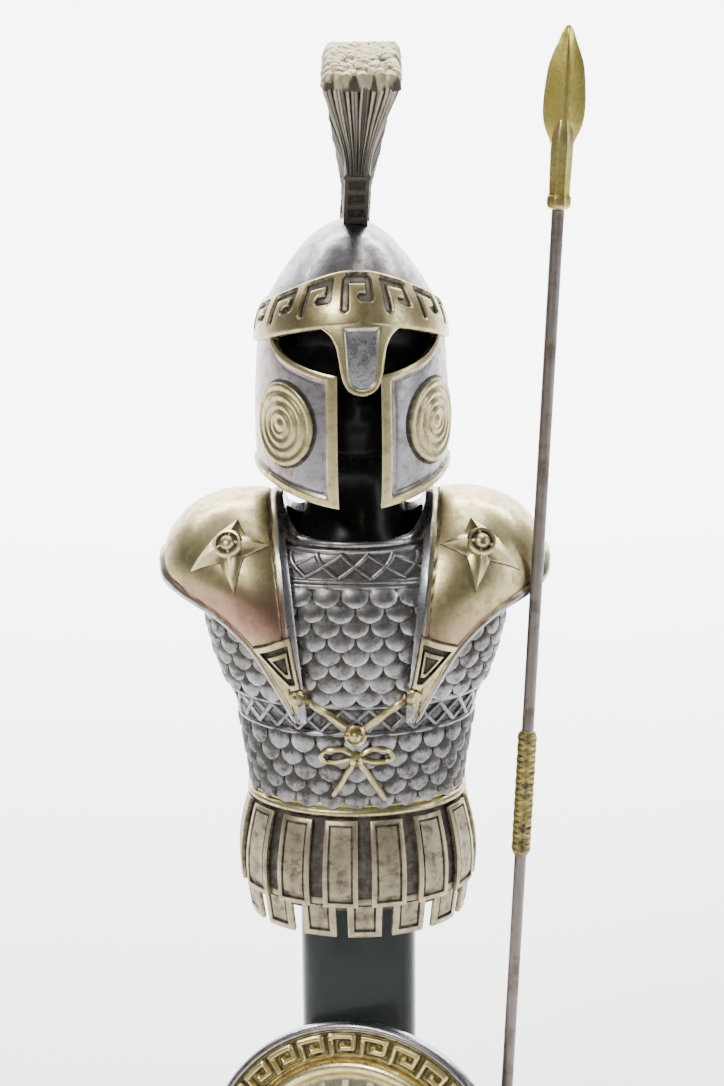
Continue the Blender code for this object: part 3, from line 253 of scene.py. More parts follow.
@dataclass(frozen=True)
class GlossBlack:
    """Polished black lacquer with faint dust and fine wipe marks."""

    name: str
    colour: Colour = (0.027, 0.032, 0.030)
    rough: float = 0.1
    shine: float = 0.08
    dust_colour: Colour = (0.05, 0.052, 0.05)
    wave: float = 0.00002

    def material(self) -> bpy.types.Material:
        """Return the finish as a material."""
        graph = Graph(self.name)
        wipe = graph.noise(90.0, 3.0, 0.5, (1.0, 1.0, 0.25))
        dust = graph.noise(1800.0, 2.0, 0.7).step(0.70, 0.82)
        colour = graph.blend(self.colour, self.dust_colour, dust * 0.2 + wipe * 0.04)
        surface = {
            "Base Color": colour, "Roughness": wipe * 0.07 + self.rough + dust * 0.25,
            "Metallic": 0.0, "Specular IOR Level": self.shine,
        }
        return graph.finish(surface, wipe, self.wave)


@dataclass(frozen=True)
class DrawnSteel:
    """Thin steel rod, drawn lengthways, browned by age."""

    name: str
    bright: Colour = (0.20, 0.175, 0.16)
    brown: Colour = (0.10, 0.075, 0.06)
    rough: float = 0.36
    draw_depth: float = 0.00003

    def material(self) -> bpy.types.Material:
        """Return the finish as a material."""
        graph = Graph(self.name)
        drawn = graph.noise(900.0, 3.0, 0.6, (1.0, 1.0, 0.03))
        spots = graph.noise(160.0, 4.0, 0.65).step(0.48, 0.7)
        colour = graph.blend(self.bright, self.brown, spots * 0.75 + drawn * 0.2)
        rough = drawn * 0.16 + self.rough + spots * 0.14
        surface = {"Base Color": colour, "Roughness": rough, "Metallic": 0.95 - spots * 0.3}
        return graph.finish(surface, drawn, self.draw_depth)


@dataclass(frozen=True)
class CrestHair:
    """Cast horsehair: near black in the grooves and on the painted shaded sides of the strands, tan on the
    strands with painted highlights on their outer faces, cream gold on the cut ends.
    """

    name: str
    dark: Colour = (0.030, 0.028, 0.025)
    strand: Colour = (0.40, 0.355, 0.27)
    tips: Colour = (0.42, 0.37, 0.235)
    metal: float = 0.8
    streak_depth: float = 0.00008

    def material(self) -> bpy.types.Material:
        """Return the finish as a material."""
        graph = Graph(self.name)
        gilt = graph.attribute("gilt")
        patina_and_shade = graph.attribute("patina_and_shade")
        worn_and_lit = graph.attribute("worn_and_lit")
        streak = graph.noise(900.0, 3.0, 0.6)
        lock = graph.noise(160.0, 2.0, 0.5)
        ridge = (worn_and_lit * (lock * 0.5 + streak * 0.5 + 0.5)).step(0.08, 0.85)
        base = graph.blend(self.dark, self.strand, ridge)
        ends = graph.blend(self.tips, self.strand, streak.step(0.52, 0.75) * 0.7)
        colour = graph.blend(graph.blend(base, ends, gilt), self.dark, patina_and_shade.step(0.2, 0.9) * 0.9)
        surface = {"Base Color": colour, "Roughness": 0.42 + streak * 0.2, "Metallic": self.metal}
        return graph.finish(surface, streak, self.streak_depth)


@dataclass(frozen=True)
class PaleFloor:
    """Matt pale studio floor."""

    name: str
    colour: Colour = (0.86, 0.86, 0.86)
    shade: Colour = (0.82, 0.82, 0.82)

    def material(self) -> bpy.types.Material:
        """Return the finish as a material."""
        graph = Graph(self.name)
        cloud = graph.noise(6.0, 2.0)
        return graph.finish({
            "Base Color": graph.blend(self.colour, self.shade, cloud), "Roughness": 0.9 - cloud * 0.1,
        })


class Slot(Enum):
    """Names of the material slots."""

    SILVER = "antique_silver"
    GOLD = "antique_gold"
    BLACK = "gloss_black"
    STEEL = "shaft_steel"
    HAIR = "crest_hair"


@dataclass
class Workshop:
    """Makes each finish once and hands pieces over to the frame."""

    materials: dict[str, bpy.types.Material] = field(default_factory=dict)

    def hand_over(self, piece: Piece, finish: object, node: str) -> None:
        """Dress a piece and tell the frame what it is.

        Args:
            piece: The finished object.
            finish: One of the finish dataclasses.
            node: The CAD node that the piece stands for.
        """
        if finish.name not in self.materials:
            self.materials[finish.name] = finish.material()
        for label in ("gilt", "patina_and_shade", "worn_and_lit", "painted_reflection"):
            if label not in piece.data.attributes:
                store(piece, label, 0.0)
        piece.data.materials.clear()
        piece.data.materials.append(self.materials[finish.name])
        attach(piece, "root")
        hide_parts(node)
        LOG.info("%s: %d faces", piece.name, len(piece.data.polygons))


# Curves and surfaces

def smooth_curve(stations: Sequence[float], values: Sequence[float]) -> Callable[[Array], Array]:
    """Return a smooth function through values at rising stations."""
    x = np.array(stations, dtype=float)
    y = np.array(values, dtype=float)
    slopes = np.gradient(y, x)

    def curve(at: Array) -> Array:
        """Return the values between the stations."""
        q = np.clip(at, x[0], x[-1])
        i = np.clip(np.searchsorted(x, q) - 1, 0, len(x) - 2)
        step = x[i + 1] - x[i]
        t = (q - x[i]) / step
        first = (2 * t ** 3 - 3 * t ** 2 + 1) * y[i] + (t ** 3 - 2 * t ** 2 + t) * step * slopes[i]
        second = (3 * t ** 2 - 2 * t ** 3) * y[i + 1] + (t ** 3 - t ** 2) * step * slopes[i + 1]
        return first + second

    return curve


def plateau(distance: Array, width: float, soft: float = 0.3) -> Array:
    """Return 1 up to a soft edge inside a width, and from there a smooth fall to 0 at the width."""
    t = np.clip((width - distance) / soft, 0.0, 1.0)
    return t * t * (3 - 2 * t)


def turns(sides: int) -> Array:
    """Return equal angles once round, the first at 0."""
    return np.linspace(0, 2 * math.pi, sides + 1)[:-1]


def grid_of(rows: Array, columns: Array) -> list[Array]:
    """Return the row value and the column value for every place of a grid."""
    return np.meshgrid(rows, columns, indexing="ij")


def near_line(x: Array, y: Array, points: Sequence[tuple[float, float]]) -> Array:
    """Return each place's distance from a line through points."""
    best = np.full(np.broadcast(x, y).shape, 1e9)
    for (x0, y0), (x1, y1) in zip(points, points[1:]):
        dx, dy = x1 - x0, y1 - y0
        t = np.clip(((x - x0) * dx + (y - y0) * dy) / (dx * dx + dy * dy), 0.0, 1.0)
        best = np.minimum(best, np.hypot(x - x0 - t * dx, y - y0 - t * dy))
    return best


class Skin:
    """A surface that gives a place for two coordinates and a distance outwards."""

    reach: tuple[float, float] = (0.002, 0.05)

    def base(self, u: Array, v: Array) -> Array:
        """Return the places of the bare surface."""
        raise NotImplementedError

    def frame(self, u: Array, v: Array) -> tuple[Array, Array, Array]:
        """Return the two changes of place and the outward direction."""
        du, dv = self.reach
        across = (self.base(u + du, v) - self.base(u - du, v)) / (2 * du)
        along = (self.base(u, v + dv) - self.base(u, v - dv)) / (2 * dv)
        normal = np.cross(across, along)
        normal /= np.maximum(np.linalg.norm(normal, axis=-1, keepdims=True), 1e-9)
        return across, along, normal

    def at(self, u: Array, v: Array, out: Array | float = 0.0) -> Array:
        """Return places at a distance out of the surface."""
        u, v, out = np.broadcast_arrays(u, v, out)
        _, _, normal = self.frame(u, v)
        return self.base(u, v) + normal * out[..., None]


@dataclass
class Egg(Skin):
    """A body whose level sections are ovals with a front and a back depth."""

    heights: Sequence[float]
    widths: Sequence[float]
    fronts: Sequence[float]
    backs: Sequence[float]
    centre: tuple[float, float] = (0.0, 0.0)
    turn: float = 0.0
    side_lift: float = 0.0
    lift_from: float = 1e9
    back_lift: float = 0.0
    flat: float = 0.7

    def __post_init__(self) -> None:
        """Make the smooth curves of the section's sizes."""
        self._width = smooth_curve(self.heights, self.widths)
        self._front = smooth_curve(self.heights, self.fronts)
        self._back = smooth_curve(self.heights, self.backs)

    def base(self, u: Array, v: Array) -> Array:
        """Return the place at an angle u and a height v."""
        u, v = np.broadcast_arrays(np.asarray(u, float), np.asarray(v, float))
        s, c = np.sin(u), np.cos(u)
        depth = np.where(c > 0, self._front(v), self._back(v))
        x = self._width(v) * s
        y = -depth * c
        share = np.clip((v - self.lift_from) / max(self.heights[-1] - self.lift_from, 1e-6), 0, None)
        share = np.where(v > self.lift_from, share, 0.0)
        side = np.clip((np.abs(s) - self.flat) / (1 - self.flat), 0, 1) ** 2
        z = v + share * (self.side_lift * side + self.back_lift * np.where(c < 0, c ** 2, 0.0))
        ct, st = math.cos(self.turn), math.sin(self.turn)
        return np.stack([x * ct - y * st + self.centre[0], x * st + y * ct + self.centre[1], z], axis=-1)

    def even(self, count: int, height: float) -> Array:
        """Return angles that divide the section at a height into equal lengths, the first in front."""
        fine = np.linspace(0, 2 * math.pi, 3601)
        places = self.base(fine, np.full_like(fine, height))
        length = np.concatenate(([0.0], np.cumsum(np.linalg.norm(np.diff(places, axis=0), axis=1))))
        return np.interp(np.linspace(0, length[-1], count + 1)[:-1], length, fine)

    def girth(self, height: float) -> float:
        """Return the length round the section at a height."""
        fine = np.linspace(0, 2 * math.pi, 721)
        places = self.base(fine, np.full_like(fine, height))
        return float(np.linalg.norm(np.diff(places, axis=0), axis=1).sum())


TORSO = Egg(
    (136.0, 141.0, 147.0, 155.0, 160.0, 165.0, 171.0, 178.0, 186.0, 192.0, 196.5, 199.4),
    (24.0, 24.0, 24.9, 26.2, 27.4, 29.6, 31.6, 33.2, 33.6, 30.5, 24.0, 15.4),
    (18.6, 19.0, 19.7, 20.6, 21.0, 21.3, 21.6, 21.8, 21.0, 19.8, 18.9, 17.8),
    (18.0, 18.2, 18.6, 19.4, 20.0, 20.6, 21.2, 21.6, 21.2, 19.6, 18.0, 16.2),
    side_lift=5.2, lift_from=190.0, back_lift=3.0,
)
SKIRT = Egg(
    (104.0, 108.0, 112.0, 117.0, 122.5, 128.0, 132.0, 136.0, 138.0),
    (24.0, 24.6, 25.2, 25.9, 26.2, 25.6, 24.7, 23.6, 23.2),
    (20.0, 20.6, 21.2, 21.7, 21.8, 21.1, 20.0, 18.4, 18.0),
    (20.0, 20.6, 21.2, 21.7, 21.8, 21.1, 20.0, 18.4, 18.0),
)
HELMET_TURN = math.radians(3.9)
HELMET = Egg(
    (205.0, 207.0, 213.0, 219.0, 226.0, 234.0, 241.0, 247.0,
     251.0, 254.5, 258.0, 261.0, 263.6, 265.6, 267.0, 267.5),
    (20.0, 20.2, 21.0, 21.4, 21.4, 21.1, 20.6, 19.4, 17.8, 15.8, 13.4, 11.0, 8.6, 5.8, 2.6, 0.02),
    (24.4, 24.6, 25.2, 25.4, 25.4, 25.2, 24.9, 24.0, 22.6, 20.6, 17.8, 14.8, 11.6, 7.8, 3.4, 0.02),
    (25.9, 25.6, 24.6, 24.0, 24.2, 24.6, 24.6, 23.8, 22.4, 20.4, 17.6, 14.6, 11.4, 7.6, 3.4, 0.02),
    centre=(-0.4, 0.0), turn=HELMET_TURN,
)


# Meshes

@contextmanager
def editing(piece: Piece, choice: str = "SELECT") -> Iterator[None]:
    """Open a piece in edit mode with everything or nothing selected, and close it again."""
    activate(piece)
    bpy.ops.object.mode_set(mode="EDIT")
    bpy.ops.mesh.select_all(action=choice)
    yield
    bpy.ops.object.mode_set(mode="OBJECT")


def deselect() -> None:
    """Leave nothing selected."""
    if bpy.context.mode != "OBJECT":
        bpy.ops.object.mode_set(mode="OBJECT")
    bpy.ops.object.select_all(action="DESELECT")


def activate(piece: Piece) -> None:
    """Make one piece the only selected and the active one."""
    deselect()
    piece.select_set(True)
    bpy.context.view_layer.objects.active = piece


def store(piece: Piece, name: str, values: Array | float) -> None:
    """Store a number for each point of a piece."""
    mesh = piece.data
    layer = mesh.attributes.get(name) or mesh.attributes.new(name, "FLOAT", "POINT")
    spread = np.broadcast_to(np.asarray(values, np.float32), (len(mesh.vertices),))
    layer.data.foreach_set("value", spread.ravel())


def places_of(piece: Piece) -> Array:
    """Return the places of a piece's points in metres."""
    flat = np.empty(len(piece.data.vertices) * 3)
    piece.data.vertices.foreach_get("co", flat)
    return flat.reshape(-1, 3)


def values_of(piece: Piece, name: str) -> Array:
    """Return the numbers stored for the points of a piece."""
    values = np.empty(len(piece.data.vertices), dtype=np.float32)
    piece.data.attributes[name].data.foreach_get("value", values)
    return values


def sheet_piece(name: str, grid: Array, gilt: Array | float = 0.0, patina_and_shade: Array | float = 0.0,
                closed: bool = False, wall: float = 0.0) -> Piece:
    """Shape a grid primitive into a surface and close it.

    Args:
        name: The piece's name.
        grid: Places in millimetres, rows by columns by 3, with the outside to the left of rising columns.
        gilt: Share of gold for each place.
        patina_and_shade: Share of patina and painted shade for each place.
        closed: Whether the last column meets the first.
        wall: Thickness in millimetres, added inwards.

    Returns:
        The piece.
    """
    rows, columns = grid.shape[:2]
    deselect()
    bpy.ops.mesh.primitive_grid_add(x_subdivisions=columns - 1, y_subdivisions=rows - 1, size=1.0)
    piece = bpy.context.active_object
    piece.name = name
    piece.data.vertices.foreach_set("co", (grid.reshape(-1, 3) * MM).ravel())
    for label, values in (("gilt", gilt), ("patina_and_shade", patina_and_shade)):
        store(piece, label, np.broadcast_to(values, (rows, columns)).ravel())
    if closed:
        with editing(piece):
            bpy.ops.mesh.remove_doubles(threshold=1e-6)
    if wall:
        add_wall(piece, wall)
    return piece


def add_wall(piece: Piece, wall: float) -> None:
    """Give a surface a thickness inwards."""
    activate(piece)
    solidify = piece.modifiers.new("wall", "SOLIDIFY")
    solidify.thickness = wall * MM
    solidify.offset = -1.0
    bpy.ops.object.modifier_apply(modifier=solidify.name)


def smooth(piece: Piece, degrees: float = 38.0) -> Piece:
    """Shade a piece smooth except over sharp edges."""
    activate(piece)
    bpy.ops.object.shade_smooth_by_angle(angle=math.radians(degrees))
    return piece


def age(piece: Piece, rounds: int = 6, strength: float = 1.0) -> Piece:
    """Add patina to the hollows of a piece and polish to its raised edges.

    Args:
        piece: The piece, which may hold patina and painted shade already.
        rounds: How far the comparison with the surroundings reaches, in edges.
        strength: A factor on both.

    Returns:
        The piece.
    """
    mesh = piece.data
    count = len(mesh.vertices)
    edges = np.empty(len(mesh.edges) * 2, dtype=np.int64)
    mesh.edges.foreach_get("vertices", edges)
    a, b = edges.reshape(-1, 2).T
    start = places_of(piece)
    size = np.linalg.norm(start[a] - start[b], axis=1).mean()
    degree = np.maximum(np.bincount(a, minlength=count) + np.bincount(b, minlength=count), 1)[:, None]
    place = start.copy()
    for _ in range(rounds):
        total = np.zeros_like(place)
        for axis in range(3):
            total[:, axis] = np.bincount(a, place[b, axis], count) + np.bincount(b, place[a, axis], count)
        place = 0.4 * place + 0.6 * total / degree
    normals = np.empty(count * 3)
    mesh.vertices.foreach_get("normal", normals)
    lift = ((place - start) * normals.reshape(-1, 3)).sum(axis=1)
    depth = np.clip(lift / (0.35 * size * math.sqrt(rounds)), -1, 1) * strength
    store(piece, "patina_and_shade", np.clip(values_of(piece, "patina_and_shade") + np.clip(depth, 0, 1), 0, 1))
    store(piece, "worn_and_lit", np.clip(-depth, 0, 1))
    return piece


@dataclass
class Stamp:
    """A small relief that is modelled flat once and laid on a surface many times."""

    points: Array
    faces: list[tuple[int, ...]]
    gilt: Array
    patina_and_shade: Array

    @classmethod
    def from_piece(cls, piece: Piece, gilt: Array | float, patina_and_shade: Array | float) -> "Stamp":
        """Take over the mesh of a piece in millimetres, and remove the piece."""
        points = places_of(piece) / MM
        faces = [tuple(face.vertices) for face in piece.data.polygons]
        bpy.data.objects.remove(piece, do_unlink=True)
        shape = (len(points),)
        return cls(points, faces, np.broadcast_to(gilt, shape), np.broadcast_to(patina_and_shade, shape))

    def lay(self, name: str, places: Layer, copies: Array) -> Piece:
        """Lay copies side by side.

        Args:
            name: The piece's name.
            places: Gives millimetre places for a copy number column, and the stamp's points.
            copies: One row for each copy, handed to places.

        Returns:
            One piece that holds every copy.
        """
        laid = places(copies, self.points, self.points[:, 2])
        count = len(self.points)
        faces = [tuple(i + count * k for i in face) for k in range(len(copies)) for face in self.faces]
        mesh = bpy.data.meshes.new(name)
        mesh.from_pydata((laid.reshape(-1, 3) * MM).tolist(), [], faces)
        mesh.update()
        piece = bpy.data.objects.new(name, mesh)
        bpy.context.scene.collection.objects.link(piece)
        store(piece, "gilt", np.tile(self.gilt, len(copies)))
        store(piece, "patina_and_shade", np.tile(self.patina_and_shade, len(copies)))
        store(piece, "worn_and_lit", 0.0)
        return piece


def on_skin(skin: Skin) -> Layer:
    """Return a layer of stamps on a surface; each copy is (u, v, turn, size, lift)."""

    def places(copies: Array, points: Array, height: Array) -> Array:
        """Return the places of every point of every copy."""
        u, v, turn, size, lift = (copies[:, k:k + 1] for k in range(5))
        across, along, _ = skin.frame(u[:, 0], v[:, 0])
        wide = np.linalg.norm(across, axis=-1)[:, None]
        tall = np.linalg.norm(along, axis=-1)[:, None]
        x = (points[None, :, 0] * np.cos(turn) - points[None, :, 1] * np.sin(turn)) * size
        y = (points[None, :, 0] * np.sin(turn) + points[None, :, 1] * np.cos(turn)) * size
        return skin.at(u + x / wide, v + y / tall, height[None, :] * size + lift)

    return places


def piece_from(name: str, points: Array, faces: Sequence[Sequence[int]]) -> Piece:
    """Return a piece from millimetre points and faces, its normals outward."""
    mesh = bpy.data.meshes.new(name)
    mesh.from_pydata((np.asarray(points) * MM).tolist(), [], [tuple(face) for face in faces])
    piece = bpy.data.objects.new(name, mesh)
    bpy.context.scene.collection.objects.link(piece)
    with editing(piece):
        bpy.ops.mesh.normals_make_consistent(inside=False)
    for label in ("gilt", "patina_and_shade", "worn_and_lit"):
        store(piece, label, 0.0)
    return piece


def ring_stack(name: str, rings: Array, gilt: Array | float = 0.0, patina_and_shade: Array | float = 0.0) -> Piece:
    """Return a closed piece from stacked rings, with a face at both ends.

    Args:
        name: The piece's name.
        rings: Places in millimetres, rings by points by 3.
        gilt: Share of gold for each place.
        patina_and_shade: Share of patina and painted shade for each place.

    Returns:
        The piece.
    """
    count, size = rings.shape[:2]
    faces: list[tuple[int, ...]] = []
    for row in range(count - 1):
        for i in range(size):
            j = (i + 1) % size
            faces.append((row * size + i, row * size + j, (row + 1) * size + j, (row + 1) * size + i))
    faces.append(tuple(range(size)))
    faces.append(tuple((count - 1) * size + i for i in range(size)))
    piece = piece_from(name, rings.reshape(-1, 3), faces)
    store(piece, "gilt", np.broadcast_to(gilt, (count, size)).ravel())
    store(piece, "patina_and_shade", np.broadcast_to(patina_and_shade, (count, size)).ravel())
    return piece


def join_pieces(name: str, pieces: Sequence[Piece]) -> Piece:
    """Join pieces into one of a given name."""
    deselect()
    for piece in pieces:
        piece.select_set(True)
    bpy.context.view_layer.objects.active = pieces[0]
    bpy.ops.object.join()
    joined = bpy.context.active_object
    joined.name = name
    return joined


# Plinth, post and bust

@dataclass
class Stand:
    """Gloss black plinth, post and bust."""

    plinth_size: tuple[float, float] = (120.0, 100.0)
    plinth_height: float = 10.0
    step_height: float = 6.2
    step_inset: float = 2.4
    edge_radius: float = 0.8
    post_half: tuple[float, float] = (13.4, 10.5)
    corner_radius: float = 5.0
    post_power: float = 3.0
    finish: GlossBlack = field(default_factory=lambda: GlossBlack("lacquer"))
    bust_finish: GlossBlack = field(default_factory=lambda: GlossBlack(
        "bust_lacquer", colour=(0.003, 0.0033, 0.0033), rough=0.24, shine=0.1))

    def plinth(self) -> Piece:
        """Return the stepped plinth, modelled from a cube."""
        deselect()
        bpy.ops.mesh.primitive_cube_add(size=1.0, location=(0, 0, self.step_height * MM / 2))
        piece = bpy.context.active_object
        piece.name = "lacquer_plinth"
        piece.scale = (self.plinth_size[0] * MM, self.plinth_size[1] * MM, self.step_height * MM)
        bpy.ops.object.transform_apply(location=True, rotation=True, scale=True)
        bpy.ops.object.mode_set(mode="EDIT")
        bpy.ops.mesh.select_all(action="DESELECT")
        bpy.ops.object.mode_set(mode="OBJECT")
        for edge in piece.data.edges:
            low, high = (piece.data.vertices[i].co for i in edge.vertices)
            edge.select = abs(low.z - high.z) > 0.001
        bpy.ops.object.mode_set(mode="EDIT")
        bpy.ops.mesh.bevel(offset=self.corner_radius * MM, segments=8, affect="EDGES")
        bpy.ops.mesh.select_all(action="DESELECT")
        bpy.ops.object.mode_set(mode="OBJECT")
        for face in piece.data.polygons:
            face.select = face.normal.z > 0.9
        bpy.ops.object.mode_set(mode="EDIT")
        bpy.ops.mesh.inset(thickness=self.step_inset * MM)
        rise = (self.plinth_height - self.step_height) * MM
        bpy.ops.mesh.extrude_region_move(TRANSFORM_OT_translate={"value": (0, 0, rise)})
        bpy.ops.object.mode_set(mode="OBJECT")
        bevel = piece.modifiers.new("edges", "BEVEL")
        bevel.width = self.edge_radius * MM
        bevel.segments = 4
        bevel.limit_method = "ANGLE"
        bevel.angle_limit = math.radians(50)
        bpy.ops.object.modifier_apply(modifier=bevel.name)
        for vertex in piece.data.vertices:
            vertex.co.z = min(vertex.co.z, self.plinth_height * MM)
        return smooth(piece, 30)

    def post(self) -> Piece:
        """Return the upright with softly rounded corners."""
        turn = turns(128)
        power = 2 / self.post_power
        x = np.sign(np.sin(turn)) * np.abs(np.sin(turn)) ** power
        y = -np.sign(np.cos(turn)) * np.abs(np.cos(turn)) ** power
        rings = []
        levels = ((10.05, 0.5), (10.5, 0.0), (60.0, 0.0), (110.0, 0.0), (139.4, 0.0), (139.9, 0.6))
        for height, inset in levels:
            half_x, half_y = self.post_half[0] - inset, self.post_half[1] - inset
            rings.append(np.stack([x * half_x, y * half_y, np.full_like(x, height)], axis=-1))
        return smooth(ring_stack("lacquer_post", np.array(rings)), 30)

    def bust(self) -> Piece:
        """Return the plain black head, neck and trunk."""
        stations = np.array((
            (140.4, 21.0, 15.6, 15.0), (155.0, 22.6, 17.0, 15.8), (171.0, 27.8, 17.8, 17.4),
            (183.0, 29.6, 17.6, 17.6), (190.0, 26.4, 16.6, 16.0), (196.0, 16.4, 15.2, 13.0),
            (200.0, 12.2, 14.0, 12.2), (204.0, 11.0, 11.8, 11.2), (208.0, 9.9, 10.6, 10.8),
            (213.0, 9.5, 10.8, 11.4), (216.0, 10.2, 13.4, 13.0), (218.6, 11.8, 17.6, 15.4),
            (223.0, 14.4, 19.0, 17.8), (229.0, 16.0, 19.6, 20.0), (236.0, 17.0, 19.8, 21.0),
            (243.0, 17.0, 20.4, 21.0), (249.0, 15.6, 19.2, 19.4), (254.5, 12.6, 16.4, 16.6),
            (259.0, 9.0, 12.6, 12.6), (262.4, 5.0, 7.2, 7.2), (264.2, 0.05, 0.05, 0.05),
        ))
        form = Egg(*stations.T)
        heights = np.concatenate((np.linspace(140.4, 216, 60), np.linspace(216.5, 264.2, 90)))
        angle = np.linspace(0, 2 * math.pi, 145)
        v, u = grid_of(heights, angle)
        place = form.base(u, v)
        x, y, z = place[..., 0], place[..., 1], place[..., 2]
        front = np.clip(np.cos(u), 0, 1)
        nose = np.exp(-(x / 2.1) ** 2) * np.clip((z - 226.0) / 4.0, 0, 1) * np.clip((244.0 - z) / 16.0, 0, 1)
        eyes = np.exp(-((np.abs(x) - 7.0) / 4.2) ** 2 - ((z - 239.5) / 3.2) ** 2)
        lips = np.exp(-(x / 4.6) ** 2 - ((z - 223.4) / 1.5) ** 2)
        chin = np.exp(-(x / 4.6) ** 2 - ((z - 218.6) / 2.0) ** 2)
        place[..., 1] -= front * (2.6 * nose - 1.6 * eyes + 0.3 * lips + 0.4 * chin)
        share = np.clip((z - 203.0) / 12.0, 0, 1)
        c, s = np.cos(HELMET_TURN * share), np.sin(HELMET_TURN * share)
        x, y = place[..., 0].copy(), place[..., 1].copy()
        place[..., 0] = x * c - y * s - 0.4 * share
        place[..., 1] = x * s + y * c
        piece = sheet_piece("lacquer_bust", place, closed=True)
        with editing(piece):
            bpy.ops.mesh.fill_holes(sides=0)
        return smooth(piece, 60)

    def build(self, workshop: Workshop) -> None:
        """Build and dress the three pieces."""
        workshop.hand_over(self.plinth(), self.finish, "plinth")
        workshop.hand_over(self.post(), self.finish, "post")
        workshop.hand_over(self.bust(), self.bust_finish, "bust")


# Cuirass

@dataclass
class GuardSkin(Skin):
    """The shoulder guard: u runs from its inner to its outer edge, v from the chest over to the back."""

    side: float = 1.0
    reach: tuple[float, float] = (0.002, 0.01)
    lines: Sequence = (
        ((11.0, -21.4, 159.6), (11.8, -22.6, 159.4), (12.8, -22.6, 159.6), (13.8, -21.2, 160.4)),
        ((11.8, -22.6, 167.0), (14.0, -24.2, 167.2), (16.6, -23.8, 168.0), (18.8, -20.9, 169.4)),
        ((12.6, -23.2, 175.0), (16.4, -25.0, 175.4), (20.4, -23.9, 176.0), (23.6, -19.9, 176.6)),
        ((13.4, -22.6, 183.0), (18.6, -25.0, 183.8), (25.4, -23.6, 184.0), (30.4, -17.0, 182.4)),
        ((14.2, -20.6, 190.4), (20.6, -23.4, 191.6), (31.4, -22.0, 192.0), (37.6, -13.8, 186.2)),
        ((15.0, -16.8, 197.0), (23.0, -19.2, 199.6), (36.6, -17.4, 199.4), (42.0, -9.6, 188.8)),
        ((15.6, -10.4, 203.0), (25.4, -11.6, 206.4), (39.0, -10.6, 204.6), (43.2, -5.2, 191.4)),
        ((15.9, -3.6, 206.0), (27.0, -3.8, 208.9), (40.0, -3.6, 206.2), (43.4, -1.8, 192.2)),
    )

    def __post_init__(self) -> None:
        """Carry the lines over the shoulder and make their smooth curves."""
        front = np.array(self.lines)
        back = front[::-1] * np.array((1.0, -1.0, 1.0))
        every = np.concatenate((front, back)) * np.array((self.side, 1.0, 1.0))
        self.last = float(len(every) - 1)
        stations = np.arange(len(every), dtype=float)
        self._curves = [
            [smooth_curve(stations, every[:, k, axis]) for axis in range(3)] for k in range(4)
        ]

    def base(self, u: Array, v: Array) -> Array:
        """Return the place at a share u across and a line number v."""
        u, v = np.broadcast_arrays(np.asarray(u, float), np.asarray(v, float))
        w = 1 - u
        weights = (w ** 3, 3 * w * w * u, 3 * w * u * u, u ** 3)
        return np.stack(
            [sum(weights[k] * self._curves[k][axis](v) for k in range(4)) for axis in range(3)], axis=-1
        )

    def at(self, u: Array, v: Array, out: Array | float = 0.0) -> Array:
        """Return places at a distance out of the surface, outwards on either side."""
        return super().at(u, v, np.asarray(out) * self.side)


class Drape:
    """Lays single ornaments on pieces that are already made, seen along a direction."""

    start_off = 0.012
    search = 0.03
    furthest = 5.0

    def __init__(self, *pieces: Piece) -> None:
        """Keep search trees of the pieces."""
        graph = bpy.context.evaluated_depsgraph_get()
        self.trees = [BVHTree.FromObject(piece, graph) for piece in pieces]

    def hit(self, point: Vector, away: Vector) -> Vector:
        """Return the outermost surface place under a point, in millimetres."""
        best = None
        start = point * MM + away * self.start_off
        for tree in self.trees:
            found = tree.ray_cast(start, -away, self.search)
            if found[0] is not None and (best is None or found[3] < best[3]):
                best = found
        return point.copy() if best is None else best[0] / MM

    def frame(self, x: float, z: float, around: float = 1.5) -> tuple[Vector, Vector, Vector, Vector]:
        """Return origin, right, up and outward directions at a place seen from the front."""
        away = Vector((0.0, -1.0, 0.0))
        centre, left, right, high, low = (
            self.hit(Vector((x + dx, -20.0, z + dz)), away)
            for dx, dz in ((0, 0), (-around, 0), (around, 0), (0, around), (0, -around))
        )
        out = (right - left).cross(high - low).normalized()
        if out.y > 0:
            out = -out
        across = Vector((0.0, 0.0, 1.0)).cross(-out).normalized()
        if across.x < 0:
            across = -across
        up = out.cross(across).normalized()
        if up.z < 0:
            up = -up
        return centre, across, up, out

    def solid(self, name: str, place: tuple[Vector, Vector, Vector, Vector], loops: Sequence[Array],
              sink: float = 0.5) -> Piece:
        """Return a raised piece from loops of (x, y, height) rows, the outermost loop first."""
        centre, across, up, out = place
        rings = []
        for k, loop in enumerate(loops):
            ring = []
            for x, y, height in loop:
                flat = centre + across * float(x) + up * float(y)
                found = self.hit(flat, out)
                if abs((found - flat).dot(out)) > self.furthest:
                    found = flat
                ring.append(found + out * float(height))
            if k == 0:
                rings.append([place_in - out * (sink + float(row[2])) for place_in, row in zip(ring, loop)])
            rings.append(ring)
        return ring_stack(name, np.array([[tuple(p) for p in ring] for ring in rings]), 1.0)


def ring_loop(radius: float, height: float, sides: int = 28) -> Array:
    """Return a level loop of points round a circle."""
    turn = turns(sides)
    return np.stack([radius * np.cos(turn), radius * np.sin(turn), np.full(sides, height)], axis=-1)


